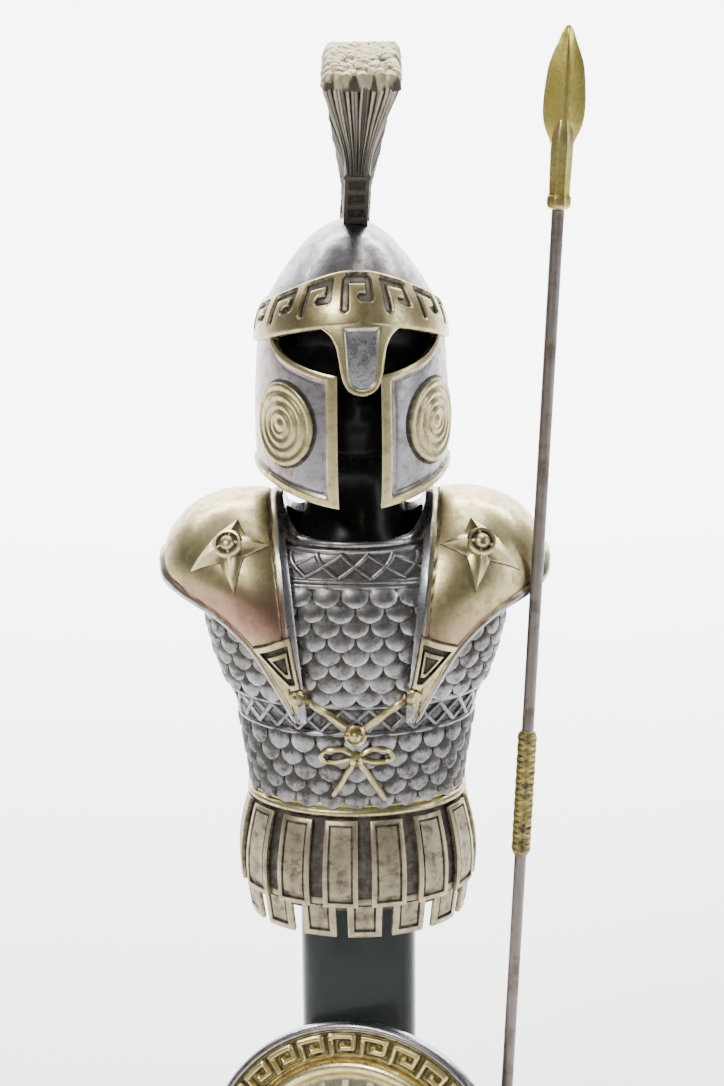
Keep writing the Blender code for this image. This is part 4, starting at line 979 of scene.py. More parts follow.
@dataclass
class Cuirass:
    """The scaled cuirass with its shoulder guards, skirt of straps and trim."""

    scales_round: int = 28
    chest_rows: tuple[float, float, int] = (189.0, 163.4, 8)
    belly_rows: tuple[float, float, int] = (155.4, 138.6, 5)
    belly_round: int = 24
    wall: float = 2.0
    lattices: Sequence[tuple[str, float, float, int]] = (
        ("high", 191.6, 197.0, 22), ("low", 157.0, 162.2, 28),
    )
    guard_wall: float = 1.8
    strap_count: int = 14
    strap_shift: float = 0.06
    strap_size: tuple[float, float] = (7.6, 19.2)
    strap_height: float = 125.5
    tab_size: tuple[float, float] = (7.7, 9.8)
    tab_height: float = 112.7
    star_centre: tuple[float, float] = (27.2, 198.5)
    star_tips: Sequence[tuple[float, float]] = ((10.4, 121.0), (6.9, 354.0), (8.6, 279.0), (10.4, 192.0))
    star_notch: float = 4.3
    finish: CastMetal = field(default_factory=lambda: CastMetal("plate"))
    scale_finish: CastMetal = field(default_factory=lambda: CastMetal(
        "scale_plate", silver=(0.26, 0.26, 0.275), silver_warm=(0.15, 0.13, 0.115),
        patina=(0.05, 0.046, 0.042), tarnish=0.9, silver_rough=0.32))
    strap_finish: CastMetal = field(default_factory=lambda: CastMetal(
        "strap_plate", gold=(0.34, 0.29, 0.19), gold_dull=(0.22, 0.185, 0.125), patina=(0.06, 0.052, 0.042),
        gold_rough=0.42, tarnish=0.6))

    def body(self) -> Piece:
        """Return the trunk under the scales, with its plain bars and rims."""
        heights = np.unique(np.concatenate((
            np.linspace(136.0, 139.2, 14), np.linspace(139.2, 154.0, 12), np.linspace(154.0, 165.0, 34),
            np.linspace(165.0, 188.0, 16), np.linspace(188.0, 199.4, 44),
        )))
        angle = np.linspace(0, 2 * math.pi, 241)
        v, u = grid_of(heights, angle)

        def bar(centre: float, half: float, raise_by: float) -> Array:
            """Return a rounded bar round the body at a height."""
            t = np.clip(1 - ((v - centre) / half) ** 2, 0, 1)
            return raise_by * np.sqrt(t)

        out = np.full_like(v, -0.15)
        bars = [bar(199.0, 0.9, 0.9), bar(197.5, 0.45, 0.55), bar(190.0, 0.75, 0.8), bar(191.0, 0.4, 0.5)]
        bars += [bar(162.8, 0.6, 0.8), bar(156.2, 0.6, 0.8), bar(137.2, 1.15, 1.5), bar(138.9, 0.5, 0.9)]
        raised = np.maximum.reduce(bars)
        out += raised
        gilt = ((v < 139.6) & (raised > 0.05)).astype(float)
        # Painted shade: the trunk under the scales is darkened so the gaps between scales read as shade;
        # above them a little patina, none on the bars.
        patina_and_shade = np.where(raised > 0.25, 0.0, np.where(v > 188.0, 0.2, 0.6))
        place = TORSO.at(u, v, out)
        return age(smooth(sheet_piece("cuirass_body", place, gilt, patina_and_shade, True, self.wall), 60), 3, 0.8)

    def scale_stamp(self, width: float, length: float) -> Stamp:
        """Return one scale: a rounded tongue that thickens towards its lower edge."""
        tt, ss = grid_of(np.linspace(0.0, 1.0, 8), np.linspace(-1.0, 1.0, 7))
        round_off = np.clip((tt - 0.42) / 0.58, 0, 1)
        half = width / 2 * np.sqrt(np.clip(1 - round_off ** 2.3 * 0.97, 0, 1))
        x = ss * half
        y = (0.5 - tt) * length
        dome = (1 - ss ** 2) * 0.5 * np.sin(math.pi * np.clip(tt * 0.85 + 0.15, 0, 1))
        edge = np.clip((np.abs(ss) - 0.74) / 0.26, 0, 1) + np.clip((tt - 0.88) / 0.12, 0, 1)
        z = 0.10 + 0.85 * tt + dome - 0.16 * np.clip(edge, 0, 1)
        rows, columns = x.shape
        points = np.stack([x, y, z], axis=-1).reshape(-1, 3)
        faces = [
            (r * columns + c, (r + 1) * columns + c, (r + 1) * columns + c + 1, r * columns + c + 1)
            for r in range(rows - 1) for c in range(columns - 1)
        ]
        rim = [r * columns for r in range(rows)] + [(rows - 1) * columns + c for c in range(1, columns)]
        rim += [r * columns + columns - 1 for r in range(rows - 2, -1, -1)]
        low = points[rim].copy()
        low[:, 2] = -0.35
        low[:, :2] *= 0.97
        start = len(points)
        points = np.concatenate((points, low))
        faces += [(rim[k], start + k, start + k + 1, rim[k + 1]) for k in range(len(rim) - 1)]
        # Painted shadow: the upper part of each scale, under the row above, and its sides darken; the wall
        # under its edge is dark as painted shade.
        shade = np.clip(1.25 - 2.3 * tt, 0, 1) + 0.55 * np.clip((np.abs(ss) - 0.7) / 0.3, 0, 1) * (1 - tt)
        patina_and_shade = np.concatenate((np.clip(shade, 0, 1).ravel(), np.full(len(rim), 1.0)))
        return Stamp(points, faces, np.zeros(len(points)), patina_and_shade)

    def scales(self) -> list[Piece]:
        """Return the chest and the belly scales."""
        rng = np.random.default_rng(SEED)
        made = []
        plans = (
            ("scales_chest", self.chest_rows, self.scales_round),
            ("scales_belly", self.belly_rows, self.belly_round),
        )
        for name, (top, bottom, rows), count in plans:
            pitch = (top - bottom) / rows
            middle = (top + bottom) / 2
            even = TORSO.even(2 * count, middle)
            copies = []
            for row in range(rows - 1, -1, -1):
                height = top - pitch * (row + 0.30)
                for k in range(count):
                    angle = even[(2 * k + row) % (2 * count)]
                    if height > 186.0 and abs(math.sin(angle)) > 0.7:
                        continue
                    size = 0.97 + 0.05 * rng.random()
                    tilt = 0.05 * (rng.random() - 0.5)
                    copies.append((angle, height, tilt, size, 0.05 * rng.random()))
            width = TORSO.girth(middle) / count
            stamp = self.scale_stamp(width * 0.97, pitch * 1.62)
            piece = stamp.lay(name, on_skin(TORSO), np.array(copies))
            made.append(self.paint_shade_and_light(age(smooth(piece, 50), 2, 0.7)))
        return made

    @staticmethod
    def paint_shade_and_light(piece: Piece) -> Piece:
        """Paint shade onto the flanks and the belly, and paint light onto the chest near the neck."""
        x, _, z = (places_of(piece) / MM).T
        flank = np.clip((np.abs(x) - 15.0) / 12.0, 0, 1)
        low = plateau(z, 158.0, 8.0)
        high = plateau(-z, -184.0, 10.0) * (1 - flank)
        # Painted shade on the flanks and the belly, painted light on the upper chest.
        patina_and_shade = values_of(piece, "patina_and_shade") + 0.38 * flank + 0.34 * low - 0.4 * high
        worn_and_lit = values_of(piece, "worn_and_lit") * (1 - 0.4 * np.maximum(flank, low)) + 0.7 * high
        store(piece, "patina_and_shade", np.clip(patina_and_shade, 0, 1))
        store(piece, "worn_and_lit", np.clip(worn_and_lit, 0, 1))
        return piece

    def bar_stamp(self, length: float, width: float, height: float) -> Stamp:
        """Return a straight half-round bar."""
        x, turn = grid_of(np.linspace(-length / 2, length / 2, 6), np.linspace(0, math.pi, 7))
        points = np.stack([x, width / 2 * np.cos(turn), height * np.sin(turn) - 0.15], axis=-1).reshape(-1, 3)
        faces = [
            (r * 7 + c, r * 7 + c + 1, (r + 1) * 7 + c + 1, (r + 1) * 7 + c)
            for r in range(5) for c in range(6)
        ]
        return Stamp(points, faces, np.zeros(len(points)), np.where(points[:, 2] < 0.1, 0.8, 0.0))

    def lattice(self) -> Piece:
        """Return the crossed bars of the two lattice bands."""
        pieces = []
        for label, low, high, count in self.lattices:
            middle = (low + high) / 2
            pitch = TORSO.girth(middle) / count
            tall = high - low
            slope = math.atan2(tall, pitch)
            stamp = self.bar_stamp(math.hypot(tall, pitch), 1.15, 0.6)
            even = TORSO.even(count, middle)
            copies = [(angle, middle, turn, 1.0, 0.0) for angle in even for turn in (slope, -slope)]
            pieces.append(stamp.lay(f"lattice_{label}", on_skin(TORSO), np.array(copies)))
        return smooth(join_pieces("lattice", pieces), 60)

    def guard(self, side: float) -> Piece:
        """Return one shoulder guard with its silver rims."""
        skin = GuardSkin(side=side)
        shares = (np.linspace(0, 0.2, 15), np.linspace(0.2, 0.84, 24), np.linspace(0.84, 1, 13))
        vv, uu = grid_of(np.linspace(0.0, skin.last, 150), np.unique(np.concatenate(shares)))
        place = skin.base(uu, vv)
        step = np.linalg.norm(np.diff(place, axis=1), axis=2)
        inner = np.concatenate((np.zeros((len(vv), 1)), np.cumsum(step, axis=1)), axis=1)
        outer = inner[:, -1:] - inner
        rim = np.maximum(plateau(inner, 2.2, 0.35), plateau(outer, 1.9, 0.35))
        groove = np.maximum(plateau(np.abs(inner - 2.9), 0.3, 0.35), plateau(np.abs(outer - 2.5), 0.3, 0.35))
        roll = 0.55 * rim - 0.35 * plateau(np.minimum(inner, outer), 0.15, 0.8) - 0.3 * groove
        gilt = 1.0 - rim
        place = skin.at(uu, vv, roll)
        name = "shoulder_guard_right" if side > 0 else "shoulder_guard_left"
        if side < 0:
            place = place[:, ::-1]
            gilt = gilt[:, ::-1]
            groove = groove[:, ::-1]
        piece = age(smooth(sheet_piece(name, place, gilt, 0.95 * groove, False, self.guard_wall), 60), 5, 0.8)
        # Painted reflection: a brown band on the gold stands for a brown thing reflected in it, stronger on
        # the left guard.
        height = places_of(piece)[:, 2] / MM
        middle, share = (184.0, 1.0) if side < 0 else (178.5, 0.6)
        reflection_brown = plateau(np.abs(height - middle), 9.5, 7.5)
        store(piece, "painted_reflection", share * reflection_brown * values_of(piece, "gilt"))
        return piece

    def plate_stamp(
        self, width: float, length: float, cells: int, frame_width: float, inner_gap: float
    ) -> Stamp:
        """Return a framed strap end, modelled flat from a grid: frame, groove and inner panel."""
        deselect()
        bpy.ops.mesh.primitive_grid_add(x_subdivisions=2, y_subdivisions=cells, size=1.0)
        piece = bpy.context.active_object
        piece.scale = (width * MM, length * MM, 1.0)
        bpy.ops.object.transform_apply(location=True, rotation=True, scale=True)
        with editing(piece):
            bpy.ops.mesh.extrude_region_move(TRANSFORM_OT_translate={"value": (0, 0, 1.0 * MM)})
            steps = ((0.22, 0.12), (frame_width, 0.0), (0.12, -0.55), (0.30, 0.0), (0.10, 0.34))
            for thickness, depth in steps:
                bpy.ops.mesh.inset(thickness=thickness * MM, depth=depth * MM)
            bpy.ops.mesh.select_all(action="SELECT")
            bpy.ops.mesh.fill_holes(sides=0)
        points = places_of(piece)
        flat = points / MM
        border = frame_width + 0.63
        foot = -length / 2 + border
        inside = (np.abs(flat[:, 0]) < width / 2 - border) & (flat[:, 1] < foot + 0.8 + inner_gap)
        inside &= (flat[:, 1] > foot) & (np.abs(flat[:, 2] - 0.91) < 0.1)
        points[inside, 1] += inner_gap * MM
        piece.data.vertices.foreach_set("co", points.ravel())
        height = flat[:, 2]
        panel = (np.abs(height - 0.91) < 0.1) & (np.abs(flat[:, 0]) < width / 2 - border + 0.1)
        patina_and_shade = np.clip((0.78 - height) / 0.3, 0, 1) * 0.75 + 0.4 * panel
        return Stamp.from_piece(piece, 0.95, patina_and_shade)

    def skirt(self) -> list[Piece]:
        """Return the skirt's inner ring, the long straps and the square ends between them."""
        heights = np.linspace(114.6, 136.4, 24)
        angle = np.linspace(0, 2 * math.pi, 161)
        v, u = grid_of(heights, angle)
        # The inner ring is darkened as painted shade in the gaps between the straps.
        ring = sheet_piece("skirt_ring", SKIRT.at(u, v, 0.0), 0.35, 0.72, True, 1.4)
        even = SKIRT.even(2 * self.strap_count, 124.0) + self.strap_shift
        width, length = self.strap_size
        stamp = self.plate_stamp(width, length, 8, 0.8, 1.3)
        copies = np.array([(angle_at, self.strap_height, 0.0, 1.0, 0.35) for angle_at in even[1::2]])
        straps = stamp.lay("straps", on_skin(SKIRT), copies)
        width, length = self.tab_size
        stamp = self.plate_stamp(width, length, 4, 1.15, 0.5)
        copies = np.array([(angle_at, self.tab_height, 0.0, 1.0, -0.75) for angle_at in even[::2]])
        tabs = stamp.lay("strap_ends", on_skin(SKIRT), copies)
        return [smooth(ring, 60), age(smooth(straps, 40), 3, 0.7), age(smooth(tabs, 40), 3, 0.7)]

    def star(self, drape: Drape, side: float) -> list[Piece]:
        """Return the star on one shoulder guard with its ring and dome."""
        place = drape.frame(side * self.star_centre[0], self.star_centre[1], 2.5)
        tips = sorted(self.star_tips, key=lambda tip: tip[1])
        corners = []
        for k, (reach, degrees) in enumerate(tips):
            following = tips[(k + 1) % 4][1] + (360 if k == 3 else 0)
            corners.append((reach, degrees, 1.0))
            corners.append((self.star_notch, (degrees + following) / 2, 0.0))
        spots = np.array([
            (side * math.sin(math.radians(a)) * r, math.cos(math.radians(a)) * r, ridge)
            for r, a, ridge in corners
        ])
        following = np.roll(spots, -1, axis=0)
        steps = np.linspace(0, 1, 7)[:-1]
        outline = np.concatenate([spots + (following - spots) * t for t in steps], axis=1)
        x, y, ridge = outline.reshape(-1, 3).T
        loops = []
        for share in (1.0, 0.95, 0.8, 0.6, 0.4, 0.22):
            height = 0.2 + (1 - share) * (0.8 + 2.7 * ridge) + 0.4 * (share < 1)
            loops.append(np.column_stack((x * share, y * share, np.minimum(height, 2.6))))
        star = drape.solid("star", place, loops, 1.0)
        notches = np.tile(0.35 * (ridge < 0.12), len(loops) - 1)
        store(star, "patina_and_shade", np.concatenate((np.ones(len(x)), np.full(len(x), 0.7), notches)))
        loops = [ring_loop(r, h) for r, h in (
            (3.3, 1.5), (3.25, 2.3), (2.95, 2.8), (2.55, 2.7), (2.2, 2.1), (1.85, 2.1), (1.65, 2.7),
            (1.25, 3.2), (0.6, 3.45), (0.15, 3.5),
        )]
        boss = drape.solid("boss", place, loops, 1.5)
        store(boss, "patina_and_shade", np.repeat([0.9, 0.5, 0, 0, 0, 0.6, 0.6, 0.1, 0, 0, 0], 28))
        return [star, boss]

    def cord(self, drape: Drape, points: Sequence[tuple[float, float]], width: float, height: float) -> Piece:
        """Return a rounded cord that follows points seen from the front."""
        path = np.array(points)
        stations = np.arange(len(path), dtype=float)
        fine = np.linspace(0, len(path) - 1, 6 * len(path))
        x, z = smooth_curve(stations, path[:, 0])(fine), smooth_curve(stations, path[:, 1])(fine)
        rings = []
        dx, dz = np.gradient(x), np.gradient(z)
        for k in range(len(fine)):
            out = drape.frame(float(x[k]), float(z[k]), 1.0)[3]
            centre = drape.hit(Vector((float(x[k]), -20.0, float(z[k]))), Vector((0.0, -1.0, 0.0)))
            forward = Vector((float(dx[k]), 0.0, float(dz[k])))
            across = out.cross(forward).normalized()
            narrow = 0.75 if k in (0, len(fine) - 1) else 1.0
            ring = []
            for turn in turns(10):
                place = centre + across * (width / 2 * narrow * math.cos(turn))
                ring.append(tuple(place + out * (0.25 * height + 0.75 * height * math.sin(turn) * narrow)))
            rings.append(ring)
        ease = np.array(rings)
        for _ in range(4):
            ease[1:-1] = 0.5 * ease[1:-1] + 0.25 * (ease[:-2] + ease[2:])
        return ring_stack("cord", ease, 1.0)

    def trim(self, drape: Drape) -> Piece:
        """Return the framed strap ends, studs, cords, brooch and bow."""
        pieces = []
        for side in (-1.0, 1.0):
            middle = (side * 15.4, 174.0)
            place = drape.frame(*middle)
            corners = ((14.2, 179.7), (22.3, 177.0), (13.9, 168.0), (12.3, 168.3))
            loop = np.array([(side * x - middle[0], z - middle[1]) for x, z in corners])
            loop = np.concatenate([
                loop[k] + (loop[(k + 1) % 4] - loop[k]) * t
                for k in range(4) for t in np.linspace(0, 1, 7)[:-1, None, None]
            ]).reshape(-1, 2)
            centre = loop.mean(axis=0)
            levels = ((1.06, 0.2, 1), (1.0, 1.4, 0), (0.80, 1.4, 0), (0.74, 0.35, 1), (0.55, 0.3, 1),
                      (0.50, 0.95, 0.1), (0.36, 1.0, 0), (0.31, 0.4, 1), (0.1, 0.4, 1))
            loops = [
                np.column_stack((centre + (loop - centre) * k, np.full(len(loop), h))) for k, h, _ in levels
            ]
            plate = drape.solid("strap_end", place, loops, 0.8)
            store(plate, "patina_and_shade", np.repeat([0.0] + [dark for _, _, dark in levels], len(loop)))
            pieces.append(plate)
            stud = (side * 12.6 - 0.2, 166.0)
            place = drape.frame(*stud, 1.0)
            profile = (
                (1.95, 0.7), (1.9, 1.15), (1.55, 1.4), (1.25, 1.3), (1.05, 1.6), (0.6, 2.1), (0.1, 2.2),
            )
            pieces.append(drape.solid("stud", place, [ring_loop(r, h, 20) for r, h in profile], 1.2))
            start = (stud[0] - side * 1.2, stud[1] - 1.0)
            pieces.append(self.cord(drape, (start, (side * 6.4, 161.3), (side * 1.6, 157.6)), 1.95, 1.15))
        place = drape.frame(-0.2, 156.2)
        profile = (
            (2.45, 1.0), (2.4, 1.7), (2.05, 2.0), (1.7, 1.8), (1.45, 1.75), (1.2, 2.2), (0.7, 2.6),
            (0.1, 2.7),
        )
        pieces.append(drape.solid("brooch", place, [ring_loop(r, h, 24) for r, h in profile], 1.4))
        for side in (-1.0, 1.0):
            loop = [(0.2 * side, 151.4), (3.0 * side, 152.9), (6.4 * side, 152.9), (7.9 * side, 151.2),
                    (6.6 * side, 149.8), (3.2 * side, 150.2), (0.3 * side, 151.2)]
            pieces.append(self.cord(drape, loop, 1.3, 1.05))
        pieces.append(self.cord(drape, ((-0.2, 151.0), (-2.2, 147.0), (-5.2, 141.6)), 1.5, 1.1))
        pieces.append(self.cord(drape, ((0.0, 151.0), (2.6, 146.6), (6.2, 140.6)), 1.5, 1.1))
        place = drape.frame(-0.1, 151.3)
        profile = ((1.5, 1.0), (1.4, 1.7), (0.9, 2.2), (0.2, 2.35))
        pieces.append(drape.solid("knot", place, [ring_loop(r, h, 14) for r, h in profile], 1.2))
        for side in (-1.0, 1.0):
            pieces += self.star(drape, side)
        return age(smooth(join_pieces("trim", pieces), 24), 2, 0.8)

    def build(self, workshop: Workshop) -> None:
        """Build and dress the cuirass."""
        body = self.body()
        workshop.hand_over(body, self.scale_finish, "cuirass")
        scales = self.scales()
        for piece in scales:
            workshop.hand_over(piece, self.scale_finish, "cuirass")
        workshop.hand_over(self.lattice(), self.scale_finish, "cuirass")
        guards = [self.guard(side) for side in (-1.0, 1.0)]
        for piece in guards:
            workshop.hand_over(piece, self.finish, "cuirass")
        for piece in self.skirt():
            workshop.hand_over(piece, self.strap_finish, "cuirass")
        workshop.hand_over(self.trim(Drape(body, *scales, *guards)), self.finish, "cuirass")


# Helmet

@dataclass
class Helmet:
    """The helmet: bowl, brow band with its key pattern, cheek guards, nose guard and discs."""

    wall: float = 1.8
    rim: tuple[float, float, float] = (208.4, 213.4, 209.0)
    band_top: tuple[float, float] = (258.4, 249.4)
    band_low: tuple[float, float] = (247.6, 241.0)
    band_raise: float = 1.0
    key_units: int = 14
    key_pitch: float = 9.9
    slot_half: float = 4.6
    eye_end: float = 61.0
    half_axes: tuple[float, float] = (21.3, 25.3)
    eye_edge: Sequence[tuple[float, float]] = (
        (10.0, 237.2), (13.5, 237.4), (25.9, 238.3), (37.0, 239.4), (49.2, 241.0), (58.7, 243.2),
        (62.0, 244.4),
    )
    disc_places: Sequence[tuple[float, float]] = ((-48.0, 225.8), (51.0, 225.8))
    finish: CastMetal = field(default_factory=lambda: CastMetal("plate"))

    def rim_at(self, angle: Array) -> Array:
        """Return the height of the lower edge."""
        end = np.where(np.cos(angle) > 0, self.rim[0], self.rim[2])
        return end + (self.rim[1] - end) * np.sin(angle) ** 2

    @staticmethod
    def edge_at(angle: Array, ends: tuple[float, float]) -> Array:
        """Return the height of an edge of the brow band."""
        return ends[1] + (ends[0] - ends[1]) * np.clip(np.cos(angle), 0, 1) ** 1.3

    def bowl(self) -> Piece:
        """Return the smooth bowl above the brow band."""
        angle = np.linspace(0, 2 * math.pi, 193)
        share = np.concatenate((np.linspace(0, 0.9, 60), 1 - 0.1 * np.linspace(1, 0, 24)[1:] ** 2))
        s, u = grid_of(share, angle)
        low = self.edge_at(u, self.band_top) - 2.0
        v = low + (HELMET.heights[-1] - low) * s
        place = HELMET.base(u, v)
        return age(smooth(sheet_piece("helmet_bowl", place, 0.0, 0.0, True, self.wall), 60), 4, 0.3)

    def band(self) -> Piece:
        """Return the brow band with its sunk keys."""
        columns, rows = 701, 46
        even = np.concatenate((HELMET.even(columns - 1, 249.0), [2 * math.pi]))
        share = np.concatenate(([0.0, 0.0], np.linspace(0.0, 1.0, rows), [1.0, 1.0]))
        wall = np.concatenate(([-1.4, -0.5], np.zeros(rows), [-0.5, -1.4]))
        s, u = grid_of(share, even)
        low, high = self.edge_at(u, self.band_low), self.edge_at(u, self.band_top)
        v = low + (high - low) * s
        unit = (np.arange(columns) / (columns - 1) * self.key_units + 0.5) % 1.0
        x = (unit[None, :] - 0.5) * self.key_pitch
        y = (s - 0.62) * 11.0
        key = ((-2.9, -3.1), (-2.9, 2.4), (2.9, 2.4), (2.9, -1.1), (0.8, -1.1))
        distance = near_line(x, y, key)
        sunk = plateau(distance, 1.0, 0.3)
        rail = plateau(np.abs(s - 0.965) * 11, 0.25, 0.3) * 0.18
        round_off = np.clip(1 - np.minimum(s, 1 - s) / 0.07, 0, 1) ** 2 * 0.45
        swell = 0.25 * np.sin(math.pi * s)
        out = self.band_raise + swell + rail - 0.85 * sunk - round_off
        out = np.where(wall[:, None] < 0, self.band_raise + wall[:, None], out)
        patina_and_shade = np.clip(sunk * 0.45 + plateau(np.abs(distance - 1.05), 0.2, 0.3) * 0.9, 0, 1)
        place = HELMET.at(u, v, out)
        gilt = 1.0 - 0.6 * plateau(distance, 0.9, 0.3)
        patina_and_shade = patina_and_shade * (wall[:, None] == 0)
        return age(smooth(sheet_piece("brow_band", place, gilt, patina_and_shade, True), 60), 3, 0.6)

    def cheeks(self) -> Piece:
        """Return the wall below the band: cheek guards, sides and nape, open for eyes and face."""
        share = np.concatenate((
            np.linspace(0, 0.30, 130), np.linspace(0.30, 0.70, 60)[1:], np.linspace(0.70, 1, 130)[1:],
        ))
        level = np.concatenate((
            np.linspace(0, 0.13, 14), np.linspace(0.13, 0.82, 44)[1:], np.linspace(0.82, 1, 16)[1:],
        ))
        t, s = grid_of(level, share)
        eye = smooth_curve(*np.array(self.eye_edge).T)
        start = math.asin(self.slot_half / self.half_axes[0])
        u = start + s * (2 * math.pi - 2 * start)
        folded = np.degrees(np.minimum(u, 2 * math.pi - u))
        top = np.where(folded < self.eye_end, eye(folded), self.edge_at(u, self.band_low) + 0.8)
        low = self.rim_at(u)
        v = low + (top - low) * t
        radius = np.hypot(self.half_axes[0] * np.cos(u), self.half_axes[1] * np.sin(u))
        slot = (np.minimum(u, 2 * math.pi - u) - start) * radius
        brow = np.where(folded < self.eye_end, (top - v) * 0.93, 9.0)
        base = v - low
        edge = np.minimum.reduce([slot * 0.72, brow * 1.12, base * 0.85])
        border = plateau(edge, 1.95, 0.35)
        line = plateau(np.abs(edge - 2.45), 0.25, 0.5)
        round_off = np.clip(1 - edge / 0.5, 0, 1) ** 2 * 0.35
        out = 0.62 * border - 0.28 * line - round_off * 0.6
        gilt = border * np.clip((130.0 - folded) / 25.0, 0, 1)
        place = HELMET.at(u, v, out)
        piece = sheet_piece("cheek_guards", place, gilt, line * 0.9, False, self.wall)
        piece = age(smooth(piece, 60), 4, 0.7)
        # The left cheek guard's silver gets a painted warm reflection, and the right side gets painted shade.
        across = places_of(piece)[:, 0] / MM / 16.0
        store(piece, "painted_reflection", np.clip(-across, 0, 1) * 0.3 * (1 - values_of(piece, "gilt")))
        store(piece, "patina_and_shade", np.clip(values_of(piece, "patina_and_shade") + 0.22 * np.clip(across, 0, 1), 0, 1))
        return piece

    def nasal(self) -> Piece:
        """Return the nose guard with its gold border round a sunk silver tongue."""
        stations = (233.2, 233.5, 234.2, 235.4, 237.6, 241.0, 244.0, 245.8, 247.0, 248.2, 250.0)
        halves = (0.25, 1.5, 2.7, 3.6, 4.3, 4.8, 5.5, 6.6, 8.2, 10.2, 10.8)
        half = smooth_curve(stations, halves)
        heights = (233.2 + 3 * np.linspace(0, 1, 22) ** 1.8, np.linspace(236.2, 249.6, 46)[1:])
        v, s = grid_of(np.concatenate(heights), np.linspace(-1, 1, 49))
        x = s * half(v)
        u = np.arcsin(np.clip((x + 0.6) / HELMET._width(v), -0.99, 0.99))
        end = np.hypot(np.minimum(v - 237.2, 0), x)
        side = np.where(v < 237.2, 4.1 - end, 4.15 + 0.06 * (v - 237.2) - np.abs(x))
        outer = np.minimum(half(v) - np.abs(x), 9.0)
        outer = np.where(v < 237.4, np.minimum(outer, side), outer)
        sunk = plateau(1.15 - side, 0.0, 0.3) * plateau(v - 247.2, 0.0, 0.4)
        round_off = np.clip(1 - outer / 0.6, 0, 1) ** 2 * 0.4
        out = 0.85 - 0.5 * sunk - round_off + 0.25 * np.clip(1 - np.abs(x) / 5, 0, 1)
        place = HELMET.at(u, v, out)
        line = plateau(np.abs(side - 1.3), 0.16, 0.35) * plateau(v - 247.6, 0.0, 0.4)
        piece = age(smooth(sheet_piece("nose_guard", place, 1.0 - sunk, line * 0.9, False, 1.7), 60), 3, 0.7)
        # Painted highlight: the sunk silver tongue is lifted bright where it would lie in shade.
        store(piece, "worn_and_lit", np.clip(values_of(piece, "worn_and_lit") + 0.9 * (1 - values_of(piece, "gilt")), 0, 1))
        return piece

    def discs(self) -> Piece:
        """Return the ringed discs on the cheek guards."""
        profile = np.array((
            (9.7, 0.0), (9.2, 0.1), (9.1, 0.75), (8.8, 1.0), (8.3, 1.1), (7.7, 1.0), (7.3, 0.72),
            (7.05, 0.72), (6.7, 1.0), (6.1, 1.15), (5.5, 1.0), (5.15, 0.75), (4.95, 0.75), (4.6, 1.05),
            (4.1, 1.2), (3.6, 1.05), (3.25, 0.8), (3.05, 0.8), (2.7, 1.1), (2.2, 1.25), (1.8, 1.1),
            (1.5, 0.95), (1.1, 1.15), (0.6, 1.35), (0.1, 1.4),
        ))
        sides = 56
        points = np.array([
            (radius * math.cos(a), radius * math.sin(a), height)
            for radius, height in profile for a in turns(sides)
        ])
        last = len(profile) - 1
        faces = [
            (r * sides + i, (r + 1) * sides + i, (r + 1) * sides + j, r * sides + j)
            for r in range(last) for i, j in zip(range(sides), (*range(1, sides), 0))
        ]
        faces.append(tuple(range(last * sides, len(profile) * sides)))
        # A painted shadow line round the disc's outer edge; patina in the grooves between the rings.
        shade = np.where(profile[:, 0] > 9.15, 0.85, np.where(profile[:, 1] < 0.82, 0.45, 0.0))
        patina_and_shade = np.repeat(shade, sides)
        stamp = Stamp(points, faces, np.ones(len(points)), patina_and_shade)
        copies = np.array([(math.radians(a), height, 0.0, 1.0, 0.0) for a, height in self.disc_places])
        return age(smooth(stamp.lay("cheek_discs", on_skin(HELMET), copies), 60), 2, 0.6)

    def build(self, workshop: Workshop) -> None:
        """Build and dress the helmet."""
        for piece in (self.bowl(), self.cheeks()):
            workshop.hand_over(piece, self.finish, "helmet")
        for piece in (self.band(), self.nasal(), self.discs()):
            workshop.hand_over(piece, self.finish, "helmet")


# Crest

